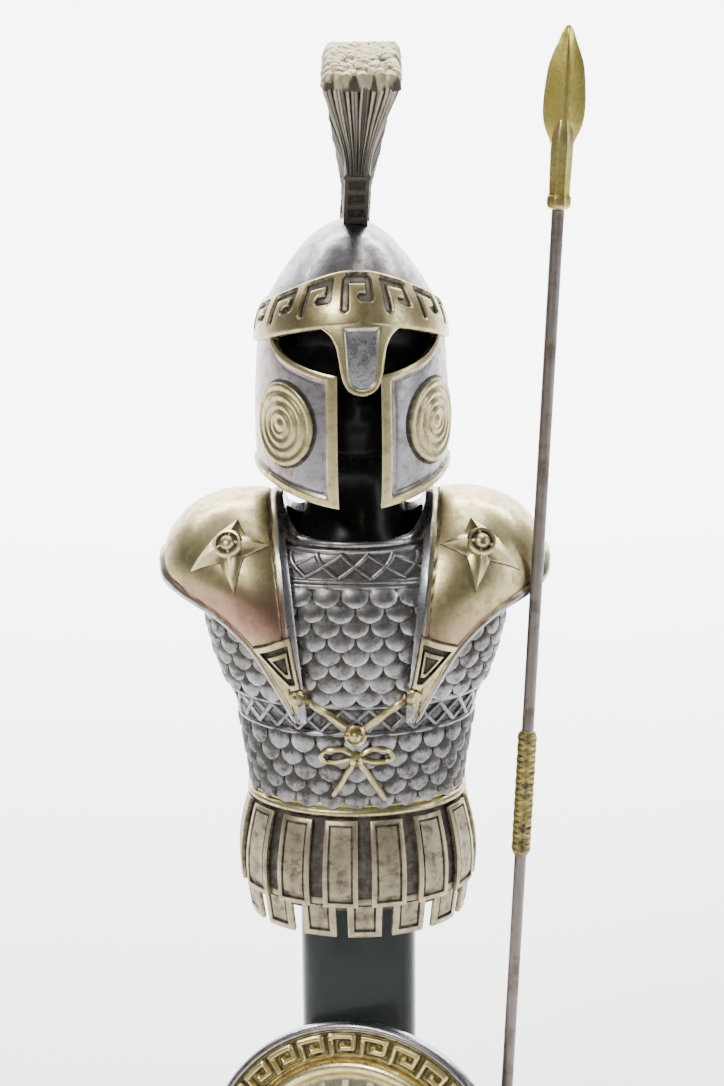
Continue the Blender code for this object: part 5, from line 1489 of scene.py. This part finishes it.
@dataclass
class Crest:
    """The raised comb and its brush of hair, cast apart from the helmet."""

    centre: tuple[float, float] = (3.0, 250.0)
    span: tuple[float, float] = (-25.0, 104.0)
    comb_half: float = 2.6
    comb_outer: float = 30.5
    comb_feet: tuple[float, float] = (15.5, 22.4)
    panel_radius: float = 26.9
    square_pitch: float = 3.6
    end_pitch: float = 3.55
    hair_top: float = 53.2
    hair_tail: float = 39.8
    flare: Sequence[tuple[float, float]] = (
        (0.0, 2.2), (0.22, 2.8), (0.5, 4.6), (0.78, 6.7), (0.92, 7.5), (1.0, 7.2),
    )
    tail: Sequence[tuple[float, float]] = ((30.0, 7.6), (42.0, 5.6), (52.0, 3.7), (60.0, 2.5), (104.0, 2.3))
    side_step: float = 0.6
    side_foot: float = 262.0
    side_lean: float = 2.6
    finish: CrestHair = field(default_factory=lambda: CrestHair("cast_hair"))

    def place(self, degrees: Array, radius: Array, x: Array) -> Array:
        """Return places for an angle back from upright, a radius and a sideways distance."""
        a = np.radians(degrees)
        y = self.centre[0] + radius * np.sin(a)
        z = self.centre[1] + radius * np.cos(a)
        x, y, z = np.broadcast_arrays(x, y, z)
        lean = self.side_step + (z - self.side_foot) * math.tan(math.radians(self.side_lean))
        return np.stack([x + lean, y, z], axis=-1)

    def reach(self, degrees: Array) -> Array:
        """Return the outer radius of the hair."""
        share = (degrees - self.span[0]) / (self.span[1] - self.span[0])
        fall = np.clip((share - 0.35) / 0.65, 0, 1)
        return self.hair_top - (self.hair_top - self.hair_tail) * fall ** 1.6

    def half(self, part: Array, degrees: Array) -> Array:
        """Return the hair's half width at a part of its length."""
        widest = np.interp(degrees, *np.array(self.tail).T)
        return np.minimum(smooth_curve(*np.array(self.flare).T)(part), widest)

    def comb(self) -> Piece:
        """Return the comb between helmet and hair, with a sunk panel of squares on each side and end."""
        degrees = np.linspace(self.span[0], self.span[1], 300)
        d, p = grid_of(degrees, np.linspace(0, 1, 34))
        base = np.interp(degrees, (-25.0, 0.0, 40.0, 80.0, 104.0), (15.5, 17.0, 19.0, 21.6, 22.4))[:, None]
        radius = base + (self.comb_outer - base) * p
        arc = np.radians(d) * 27.0
        out = np.abs(radius - self.panel_radius)
        panel = plateau(out, 2.3, 0.3)
        along = np.abs((arc / self.square_pitch) % 1.0 - 0.5) * self.square_pitch
        square = plateau(along, 1.1, 0.3) * plateau(out, 1.5, 0.3)
        ring = plateau(along, 0.45, 0.3) * plateau(out, 0.7, 0.3)
        sunk = 0.35 * panel + 0.3 * square - 0.45 * ring
        half = self.comb_half + 0.25 * plateau(np.abs(radius - 29.9), 0.5, 0.3) - sunk
        patina_and_shade = np.clip(0.25 + 0.5 * panel + 0.3 * square - 0.3 * ring, 0, 1)
        sides = []
        for sign in (1.0, -1.0):
            grid = self.place(d, radius, sign * half)
            order = slice(None, None, int(sign))
            sides.append(sheet_piece("comb_side", grid[:, order], 0.1, patina_and_shade[:, order]))
        for end, foot, sign in zip(self.span, self.comb_feet, (1.0, -1.0)):
            q, x = grid_of(np.linspace(0, 1, 90), np.linspace(-1, 1, 25))
            radius = foot + (self.comb_outer - foot) * q
            wide = self.comb_half * x
            inside = plateau(np.abs(wide), 1.75, 0.25)
            unit = ((radius - self.comb_feet[0]) / self.end_pitch) % 1.0
            off = (unit - 0.5) * self.end_pitch
            box = inside * plateau(np.abs(off), 1.25, 0.25)
            dot = plateau(np.hypot(wide, off), 0.6, 0.3)
            sunk = 0.55 * box - 0.5 * dot
            shift = np.degrees(sunk / radius) * sign
            grid = self.place(end + shift, radius, wide)
            shade = np.clip(0.3 + 0.55 * box - 0.4 * dot, 0, 1)
            order = slice(None, None, -int(sign))
            sides.append(sheet_piece("comb_end", grid[:, order], 0.1, shade[:, order]))
        d, x = grid_of(np.linspace(self.span[0], self.span[1], 60), np.linspace(-1, 1, 7))
        top = self.place(d, self.comb_outer, x * self.comb_half)[:, ::-1]
        sides.append(sheet_piece("comb_top", top, 0.0, 0.6))
        piece = join_pieces("crest_comb", sides)
        with editing(piece):
            bpy.ops.mesh.remove_doubles(threshold=0.00003)
        return age(smooth(piece, 50), 2, 0.6)

    def core(self) -> Piece:
        """Return the dark block that the strands lie on."""
        degrees = np.linspace(self.span[0] + 0.8, self.span[1] - 0.8, 120)
        d, p = grid_of(degrees, np.linspace(0.0, 0.985, 26))
        radius = self.comb_outer - 0.3 + (self.reach(d) - self.comb_outer) * p
        half = self.half(p, d) - 0.35
        ring = np.concatenate((self.place(d, radius, half), self.place(d, radius, -half)[:, ::-1]), axis=1)
        return smooth(ring_stack("hair_core", ring, 0.0, 0.85), 40)

    def strands(self) -> Piece:
        """Return the strands on the sides and ends of the brush."""
        rng = np.random.default_rng(SEED + 1)
        rows = []
        for sign in (-1.0, 1.0):
            for degrees in np.arange(self.span[0] + 0.6, self.span[1] - 0.4, 1.15):
                rows.append((degrees + 0.3 * rng.normal(), sign, True))
        for end in self.span:
            for x in np.linspace(-0.98, 0.98, 17):
                rows.append((end, x + 0.02 * rng.normal(), False))
        part = np.linspace(0.0, 1.0, 12)
        turn = turns(7)
        points, faces, gilt, patina_and_shade, worn_and_lit = [], [], [], [], []
        for degrees, side, flank in rows:
            reach = float(self.reach(np.array(degrees))) - self.comb_outer
            length = rng.uniform(0.93, 1.0)
            wave = rng.uniform(-1, 1, 4)
            tone = rng.uniform(0.25, 1.0)
            proud = rng.uniform(-0.25, 0.35)
            outward = -1.0 if degrees < 0 else 1.0
            start = len(points)
            for p in part:
                q = p * length
                half = float(self.half(np.array(q), np.array(degrees)))
                radius = self.comb_outer + reach * q
                drift = 0.30 * wave[0] * q + 0.22 * math.sin(7 * q + 3 * wave[1]) * wave[2]
                pitch = math.radians(1.15) * radius if flank else 2 * half / 16
                wide = 0.62 * pitch * (0.8 if p == 1.0 else 1.0)
                thick = 0.30 + 0.30 * q
                for a in turn:
                    if flank:
                        angle = degrees + math.degrees((drift + wide * math.cos(a)) / radius)
                        x = side * (half + proud * q + thick * math.sin(a))
                    else:
                        angle = degrees + outward * math.degrees((proud * q + thick * math.sin(a)) / radius)
                        x = side * half + 0.5 * drift + wide * math.cos(a)
                    points.append(self.place(np.array(angle), np.array(radius), np.array(x)))
                    # Painted highlight on the outer face of each strand and painted shade on its other sides.
                    ridge = max(math.sin(a), 0.0)
                    gilt.append(np.clip((q - 0.93) / 0.05, 0, 1))
                    patina_and_shade.append(np.clip(0.9 - 1.1 * ridge, 0, 1))
                    worn_and_lit.append(ridge ** 2 * tone * (0.45 + 0.55 * q))
            for k in range(len(part) - 1):
                low, high = start + 7 * k, start + 7 * k + 7
                for i in range(7):
                    j = (i + 1) % 7
                    faces.append((low + i, low + j, high + j, high + i))
            faces.append(tuple(start + 7 * (len(part) - 1) + i for i in range(7)))
            faces.append(tuple(start + i for i in range(6, -1, -1)))
        piece = piece_from("hair_strands", np.array(points), faces)
        for label, values in (("gilt", gilt), ("patina_and_shade", patina_and_shade), ("worn_and_lit", worn_and_lit)):
            store(piece, label, np.array(values))
        return smooth(piece, 60)

    def ends(self) -> Piece:
        """Return the rough cut ends on top of the brush."""
        rng = np.random.default_rng(SEED + 2)
        degrees = np.linspace(self.span[0] - 0.6, self.span[1] + 0.6, 330)
        d, x = grid_of(degrees, np.linspace(-1, 1, 46))
        radius = self.reach(np.clip(d, *self.span))
        half = self.half(np.full_like(d, 0.97), d) + 0.1
        arc, wide = np.radians(d) * radius, x * half
        count = 1150
        seeds = (rng.uniform(arc.min(), arc.max(), count), rng.uniform(-8, 8, count), rng.random(count))
        nearest = np.full(d.shape, 9.0)
        tone = np.zeros(d.shape)
        for seed_arc, seed_wide, seed_tone in zip(*seeds):
            low, high = np.searchsorted(arc[:, 0], (seed_arc - 2.0, seed_arc + 2.0))
            gap = np.hypot(arc[low:high] - seed_arc, wide[low:high] - seed_wide)
            closer = gap < nearest[low:high]
            nearest[low:high] = np.where(closer, gap, nearest[low:high])
            tone[low:high] = np.where(closer, seed_tone, tone[low:high])
        bump = np.clip(1 - (nearest / 0.78) ** 2, 0, 1)
        lift = 0.9 * bump + 1.1 * (tone - 0.5)
        edge = np.clip((np.abs(x) - 0.9) / 0.1, 0, 1)
        ends = np.clip((np.abs(d - np.mean(self.span)) - 64.2) / 0.9, 0, 1)
        drop = 1.8 * np.maximum(edge, ends) ** 2 * (0.6 + 0.8 * tone)
        place = self.place(d, radius + lift * 0.8 - drop - 0.35, wide + 0.3 * edge * np.sign(x) * tone)
        patina_and_shade = np.clip(1.05 - bump * 1.5, 0, 1) * 0.95 + 0.35 * (tone < 0.3)
        piece = sheet_piece("hair_ends", place[:, ::-1], 1.0, patina_and_shade[:, ::-1], False, 0.9)
        return age(smooth(piece, 50), 3, 0.8)

    def build(self, workshop: Workshop) -> None:
        """Build and dress the crest."""
        for piece in (self.comb(), self.core(), self.strands(), self.ends()):
            workshop.hand_over(piece, self.finish, "crest")


# Shield

@dataclass
class Shield:
    """The round shield that leans on the post."""

    radius: float = 37.4
    yaw: float = 16.5
    lean: float = 11.3
    keys: int = 27
    key_pitch: float = 7.6
    key_ring: tuple[float, float] = (29.75, 35.25)
    rays: int = 12
    ray_ring: tuple[float, float] = (14.4, 24.5)
    finish: CastMetal = field(default_factory=lambda: CastMetal(
        "shield_plate", gold=(0.80, 0.66, 0.28), gold_dull=(0.62, 0.50, 0.22), patina=(0.10, 0.08, 0.04),
        gold_rough=0.3, tarnish=0.35))

    def frame_from_node(self) -> tuple[Array, Array]:
        """Return the centre and the axes of the shield, read from its CAD box and its lean."""
        yaw, lean = math.radians(self.yaw), math.radians(self.lean)
        normal = np.array((-math.sin(yaw) * math.cos(lean), -math.cos(yaw) * math.cos(lean), math.sin(lean)))
        right = np.array((math.cos(yaw), -math.sin(yaw), 0.0))
        up = np.cross(normal, right)
        low, high = (np.array(corner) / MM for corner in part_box("shield"))
        turn = np.linspace(0, 2 * math.pi, 720)
        rim = self.radius * (np.outer(np.sin(turn), right) + np.outer(np.cos(turn), up))
        centre = np.zeros(3)
        centre[0] = (low[0] + high[0]) / 2 - (rim[:, 0].min() + rim[:, 0].max()) / 2
        centre[2] = high[2] - rim[:, 2].max() - 0.15
        centre[1] = high[1] - rim[:, 1].max() - 1.3
        return centre, np.array((right, up, normal))

    @staticmethod
    def turned(radius: Array, angle: Array, height: Array) -> Array:
        """Return flat places round the shield's own centre."""
        return np.stack([radius * np.sin(angle), radius * np.cos(angle), height], axis=-1)

    def disc(self) -> Piece:
        """Return the dished disc with its rim, key band, rings and boss."""
        centre, axes = self.frame_from_node()
        profile = np.array((
            (37.0, -1.2), (37.35, -0.8), (37.4, 0.0), (37.2, 1.0), (36.7, 1.6), (36.0, 1.8),
            (35.6, 1.6), (35.35, 1.2),
        ))
        fine = np.arange(35.2, 29.8, -0.16)
        inner = np.array((
            (29.6, 1.3), (29.2, 1.3), (28.7, 2.6), (27.9, 3.3), (27.0, 3.4), (26.1, 3.2),
            (25.5, 2.5), (25.0, 2.1), (24.0, 2.2), (22.0, 2.6), (19.0, 3.2), (16.0, 3.9),
            (14.4, 4.3), (14.0, 4.9), (13.2, 5.5), (12.4, 5.5), (11.7, 4.9), (11.2, 4.8),
            (9.5, 5.4), (7.5, 6.6), (5.5, 7.8), (3.5, 8.7), (1.8, 9.2), (0.05, 9.4),
        ))
        band = np.column_stack((fine, 1.25 + (35.2 - fine) * 0.12))
        radius, height = np.concatenate((profile, band, inner)).T
        turn = np.linspace(0, 2 * math.pi, 541)
        r, a = grid_of(radius, turn)
        h = np.repeat(height[:, None], len(turn), axis=1)
        unit = (a / (2 * math.pi) * self.keys) % 1.0
        x = (unit - 0.5) * self.key_pitch
        y = r - sum(self.key_ring) / 2
        on_band = (r < self.key_ring[1]) & (r > self.key_ring[0])
        key = ((-3.2, -2.1), (-3.2, 1.7), (2.2, 1.7), (2.2, -0.9), (-0.5, -0.9), (-0.5, -0.1))
        raised = plateau(near_line(x, y, key), 0.82, 0.5)
        rail = plateau(np.abs(np.abs(y) - 2.35), 0.22, 0.3)
        relief = np.maximum(raised, 0.8 * rail)
        h = h + np.where(on_band, 1.5 * relief, 0.0)
        ray = np.abs((a / (2 * math.pi) * self.rays) % 1.0 - 0.5) * 2
        low, high = self.ray_ring
        field_relief = (r < high) & (r > low)
        petal = plateau(np.abs(ray - 0.5) * 2.0, 0.55, 0.3)
        petal = petal * np.clip((high - r) / 1.5, 0, 1) * np.clip((r - low) / 1.2, 0, 1)
        h = h + np.where(field_relief, 0.5 * petal, 0.0)
        gilt = np.where(r > self.key_ring[1], 0.0, 1.0)
        gilt = np.where(field_relief, 0.25 + 0.6 * petal, gilt)
        patina_and_shade = np.where(on_band, 0.55 * (1 - relief), 0.0)
        patina_and_shade = patina_and_shade + np.where(field_relief, 0.3 * (1 - petal), 0.0)
        place = centre + self.turned(r, a, h) @ axes
        front = sheet_piece("shield_front", place[:, ::-1], gilt[:, ::-1], patina_and_shade[:, ::-1], True)
        radius, height = np.array((
            (37.0, -1.2), (36.0, -1.35), (34.8, -1.2), (30.0, -0.4), (18.0, 1.2), (8.0, 2.1), (0.05, 2.4),
        )).T
        r, a = grid_of(radius, turn[::4])
        flat = self.turned(r, a, np.repeat(height[:, None], r.shape[1], axis=1))
        back = sheet_piece("shield_back", centre + flat @ axes, 0.3, 0.35, True)
        return age(smooth(join_pieces("shield_disc", [front, back]), 60), 3, 0.6)

    def build(self, workshop: Workshop) -> None:
        """Build and dress the shield."""
        workshop.hand_over(self.disc(), self.finish, "shield")


# Spear

@dataclass
class Spear:
    """The spear: shaft, wrapped grip and leaf blade on one leaning line."""

    shaft_radius: float = 1.35
    head_length: float = 38.0
    blade_from: float = 13.0
    joint_gap: float = 0.03
    grip: tuple[float, float] = (125.5, 155.0)
    grip_radius: float = 2.4
    metal: CastMetal = field(default_factory=lambda: CastMetal(
        "spear_gold", gold=(0.62, 0.50, 0.12), gold_dull=(0.36, 0.28, 0.07), gold_rough=0.34, tarnish=0.55,
        grain=0.0001))
    grip_metal: CastMetal = field(default_factory=lambda: CastMetal(
        "grip_gold", gold=(0.38, 0.30, 0.08), gold_dull=(0.22, 0.17, 0.05), gold_rough=0.42, tarnish=1.0))
    steel: DrawnSteel = field(default_factory=lambda: DrawnSteel("drawn_steel"))

    def __post_init__(self) -> None:
        """Find the spear's line in the CAD shaft and head."""
        corners = []
        for node in ("spear_shaft", "spear_head"):
            corners.append(places_of(bpy.data.objects[node]) / MM)
        shaft, head = corners
        low = shaft[shaft[:, 2] < shaft[:, 2].min() + 1.5].mean(axis=0)
        self.tip = head[head[:, 2].argmax()]
        high = shaft[shaft[:, 2] > shaft[:, 2].max() - 1.5].mean(axis=0)
        self.axis = (high - low) / np.linalg.norm(high - low)
        self.length = float((self.tip - low) @ self.axis)
        self.low = self.tip - self.axis * self.length
        self.right = np.cross((0.0, 1.0, 0.0), self.axis)
        self.right /= np.linalg.norm(self.right)
        self.front = np.cross(self.axis, self.right)

    def spot(self, along: Array, across: Array, forward: Array) -> Array:
        """Return places by their distance along the line, to its right and in front of it."""
        parts = ((self.axis, along), (self.right, across), (self.front, forward))
        return self.low + sum(way * np.asarray(size)[..., None] for way, size in parts)

    def shaft(self) -> Piece:
        """Return the thin steel rod."""
        top = self.length - self.head_length - self.joint_gap
        along = np.concatenate(([0.2, 0.6], np.linspace(4, top, 40)))
        radius = np.full(len(along), self.shaft_radius)
        radius[0] = 0.9
        along, radius = along[:, None], radius[:, None]
        turn = turns(28)
        rings = self.spot(along, radius * np.sin(turn), radius * np.cos(turn))
        return smooth(ring_stack("steel_rod", rings), 50)

    def sleeve(self) -> Piece:
        """Return the grip with its crossed wrapping."""
        scale = 1 / self.axis[2]
        low, high = ((h - self.low[2]) * scale for h in self.grip)
        a, t = grid_of(np.linspace(low, high, 240), turns(72))
        one = np.abs(((a / 2.6 + t / math.pi) % 1.0) - 0.5) * 2
        two = np.abs(((a / 2.6 - t / math.pi) % 1.0) - 0.5) * 2
        relief = 0.3 * np.maximum(one, two) ** 2 - 0.2 * np.minimum(one, two)
        end = np.clip(np.minimum(a - low, high - a) / 1.6, 0, 1)
        radius = (self.grip_radius - 0.32 + relief) * np.sqrt(np.clip(1 - (1 - end) ** 2 * 0.55, 0, 1))
        rings = self.spot(a, radius * np.sin(t), radius * np.cos(t))
        piece = ring_stack("grip_sleeve", rings, 1.0, np.clip(0.45 - 1.6 * relief, 0, 0.8))
        return age(smooth(piece, 60), 2, 0.6)

    def head(self) -> Piece:
        """Return collar, faceted socket and leaf blade with its midrib."""
        start = self.length - self.head_length
        profile = np.array((
            (0.0, 1.9), (0.3, 2.3), (0.7, 2.58), (1.2, 2.6), (2.3, 2.6), (2.7, 2.5), (2.95, 2.28),
            (3.4, 2.26), (8.0, 2.36), (12.5, 2.46), (15.5, 2.3), (18.5, 1.7), (20.5, 0.9), (21.4, 0.3),
        ))
        turn = turns(8) + math.pi / 8
        along = start + profile[:, :1]
        radius = profile[:, 1:] / math.cos(math.pi / 8) * 0.97
        socket = ring_stack("socket", self.spot(along, radius * np.sin(turn), radius * np.cos(turn)), 1.0)
        bevel = socket.modifiers.new("edges", "BEVEL")
        bevel.width = 0.18 * MM
        bevel.segments = 2
        activate(socket)
        bpy.ops.object.modifier_apply(modifier=bevel.name)
        blade_length = self.head_length - self.blade_from
        along = self.blade_from + blade_length * np.sin(np.linspace(0, math.pi / 2, 90))
        stations = (13.0, 14.5, 16.5, 18.0, 19.5, 22.0, 24.6, 27.2, 29.7, 32.2, 34.8, 36.8, 37.6, 38.0)
        widths = (2.3, 2.8, 3.7, 4.15, 4.38, 4.46, 4.32, 4.07, 3.7, 2.9, 1.86, 1.1, 0.6, 0.05)
        depths = (1.6, 1.7, 1.8, 1.8, 1.75, 1.7, 1.6, 1.5, 1.35, 1.15, 0.95, 0.7, 0.4, 0.05)
        wide = smooth_curve(stations, widths)(along)
        rib = smooth_curve(stations, depths)(along)
        quarter = np.array((
            (0.0, 1.0), (0.08, 0.97), (0.25, 0.78), (0.5, 0.50), (0.8, 0.24), (0.97, 0.12), (1.0, 0.0),
        ))
        ring = np.concatenate((
            quarter, (quarter * (1, -1))[::-1][1:], (quarter * (-1, -1))[1:], (quarter * (-1, 1))[::-1][1:-1],
        ))
        blade = self.spot((start + along)[:, None], wide[:, None] * ring[:, 0], rib[:, None] * ring[:, 1])
        leaf = ring_stack("leaf", blade, 1.0)
        return age(smooth(join_pieces("leaf_blade", [leaf, socket]), 34), 3, 0.6)

    def build(self, workshop: Workshop) -> None:
        """Build and dress the spear."""
        workshop.hand_over(self.shaft(), self.steel, "spear_shaft")
        workshop.hand_over(self.sleeve(), self.grip_metal, "spear_grip")
        workshop.hand_over(self.head(), self.metal, "spear_head")


# Camera, light and floor

@dataclass
class Studio:
    """A pale floor that rises behind the figure, soft lights and the camera."""

    camera_place: tuple[float, float, float] = (1.6, -502.0, 329.0)
    pitch: float = 15.0
    roll: float = 0.5
    focal_points: float = 2311.0
    picture: tuple[int, int] = (724, 1086)
    sensor: float = 36.0
    sky: tuple[float, float, float, float] = (0.55, 0.56, 0.58, 1.0)
    sky_strength: float = 0.22

    def camera(self) -> None:
        """Set the camera at the photograph's place."""
        data = bpy.data.cameras.new("camera")
        data.sensor_width = self.sensor
        data.sensor_fit = "AUTO"
        data.lens = self.focal_points / max(self.picture) * self.sensor
        data.clip_start = 0.01
        data.clip_end = 20.0
        item = bpy.data.objects.new("camera", data)
        item.location = [c * MM for c in self.camera_place]
        tilt = Matrix.Rotation(math.radians(90 - self.pitch), 4, "X")
        aim = tilt @ Matrix.Rotation(math.radians(-self.roll), 4, "Z")
        item.rotation_euler = aim.to_euler()
        bpy.context.scene.collection.objects.link(item)
        bpy.context.scene.camera = item

    def floor(self) -> None:
        """Lay the pale floor with its raised back."""
        rows = [(-1.6, 0.0), (0.9, 0.0), (1.15, 0.03), (1.35, 0.14), (1.45, 0.32), (1.48, 0.6), (1.48, 2.4)]
        points = [(x, y, z) for y, z in rows for x in (-2.6, 2.6)]
        faces = [(2 * k, 2 * k + 1, 2 * k + 3, 2 * k + 2) for k in range(len(rows) - 1)]
        mesh = bpy.data.meshes.new("floor")
        mesh.from_pydata(points, [], faces)
        item = bpy.data.objects.new("floor", mesh)
        bpy.context.scene.collection.objects.link(item)
        item.data.materials.append(PaleFloor("pale_floor").material())
        smooth(item, 60)

    @staticmethod
    def light(name: str, place: tuple[float, float, float], aim: tuple[float, float, float],
              size: tuple[float, float], power: float, colour: Colour = (1.0, 1.0, 1.0)) -> None:
        """Hang one soft rectangular light."""
        data = bpy.data.lights.new(name, "AREA")
        data.shape = "RECTANGLE"
        data.size, data.size_y = size
        data.energy = power
        data.color = colour
        item = bpy.data.objects.new(name, data)
        item.location = place
        item.rotation_euler = (Vector(aim) - Vector(place)).to_track_quat("-Z", "Y").to_euler()
        bpy.context.scene.collection.objects.link(item)

    def build(self) -> None:
        """Set up everything round the figure."""
        self.camera()
        self.floor()
        world = bpy.data.worlds.new("studio")
        world.use_nodes = True
        background = world.node_tree.nodes["Background"]
        background.inputs[0].default_value = self.sky
        background.inputs[1].default_value = self.sky_strength
        bpy.context.scene.world = world
        self.light("key", (-0.55, -0.85, 1.0), (0.0, 0.0, 0.20), (0.35, 0.35), 13.0, (1.0, 0.98, 0.95))
        self.light("fill", (0.95, -0.35, 0.45), (0.0, 0.0, 0.18), (0.2, 0.8), 4.5, (0.88, 0.94, 1.0))
        self.light("top", (0.1, 0.1, 1.15), (0.0, 0.0, 0.2), (0.5, 0.4), 6.0)
        self.light("wall", (0.0, 0.75, 1.3), (0.0, 1.45, 0.45), (2.6, 0.6), 200.0)


def main() -> None:
    """Build the figure piece by piece."""
    logging.basicConfig(level=logging.INFO, format="%(message)s")
    workshop = Workshop()
    Studio().build()
    Stand().build(workshop)
    Cuirass().build(workshop)
    Helmet().build(workshop)
    Crest().build(workshop)
    Shield().build(workshop)
    Spear().build(workshop)


if __name__ == "__main__":
    main()
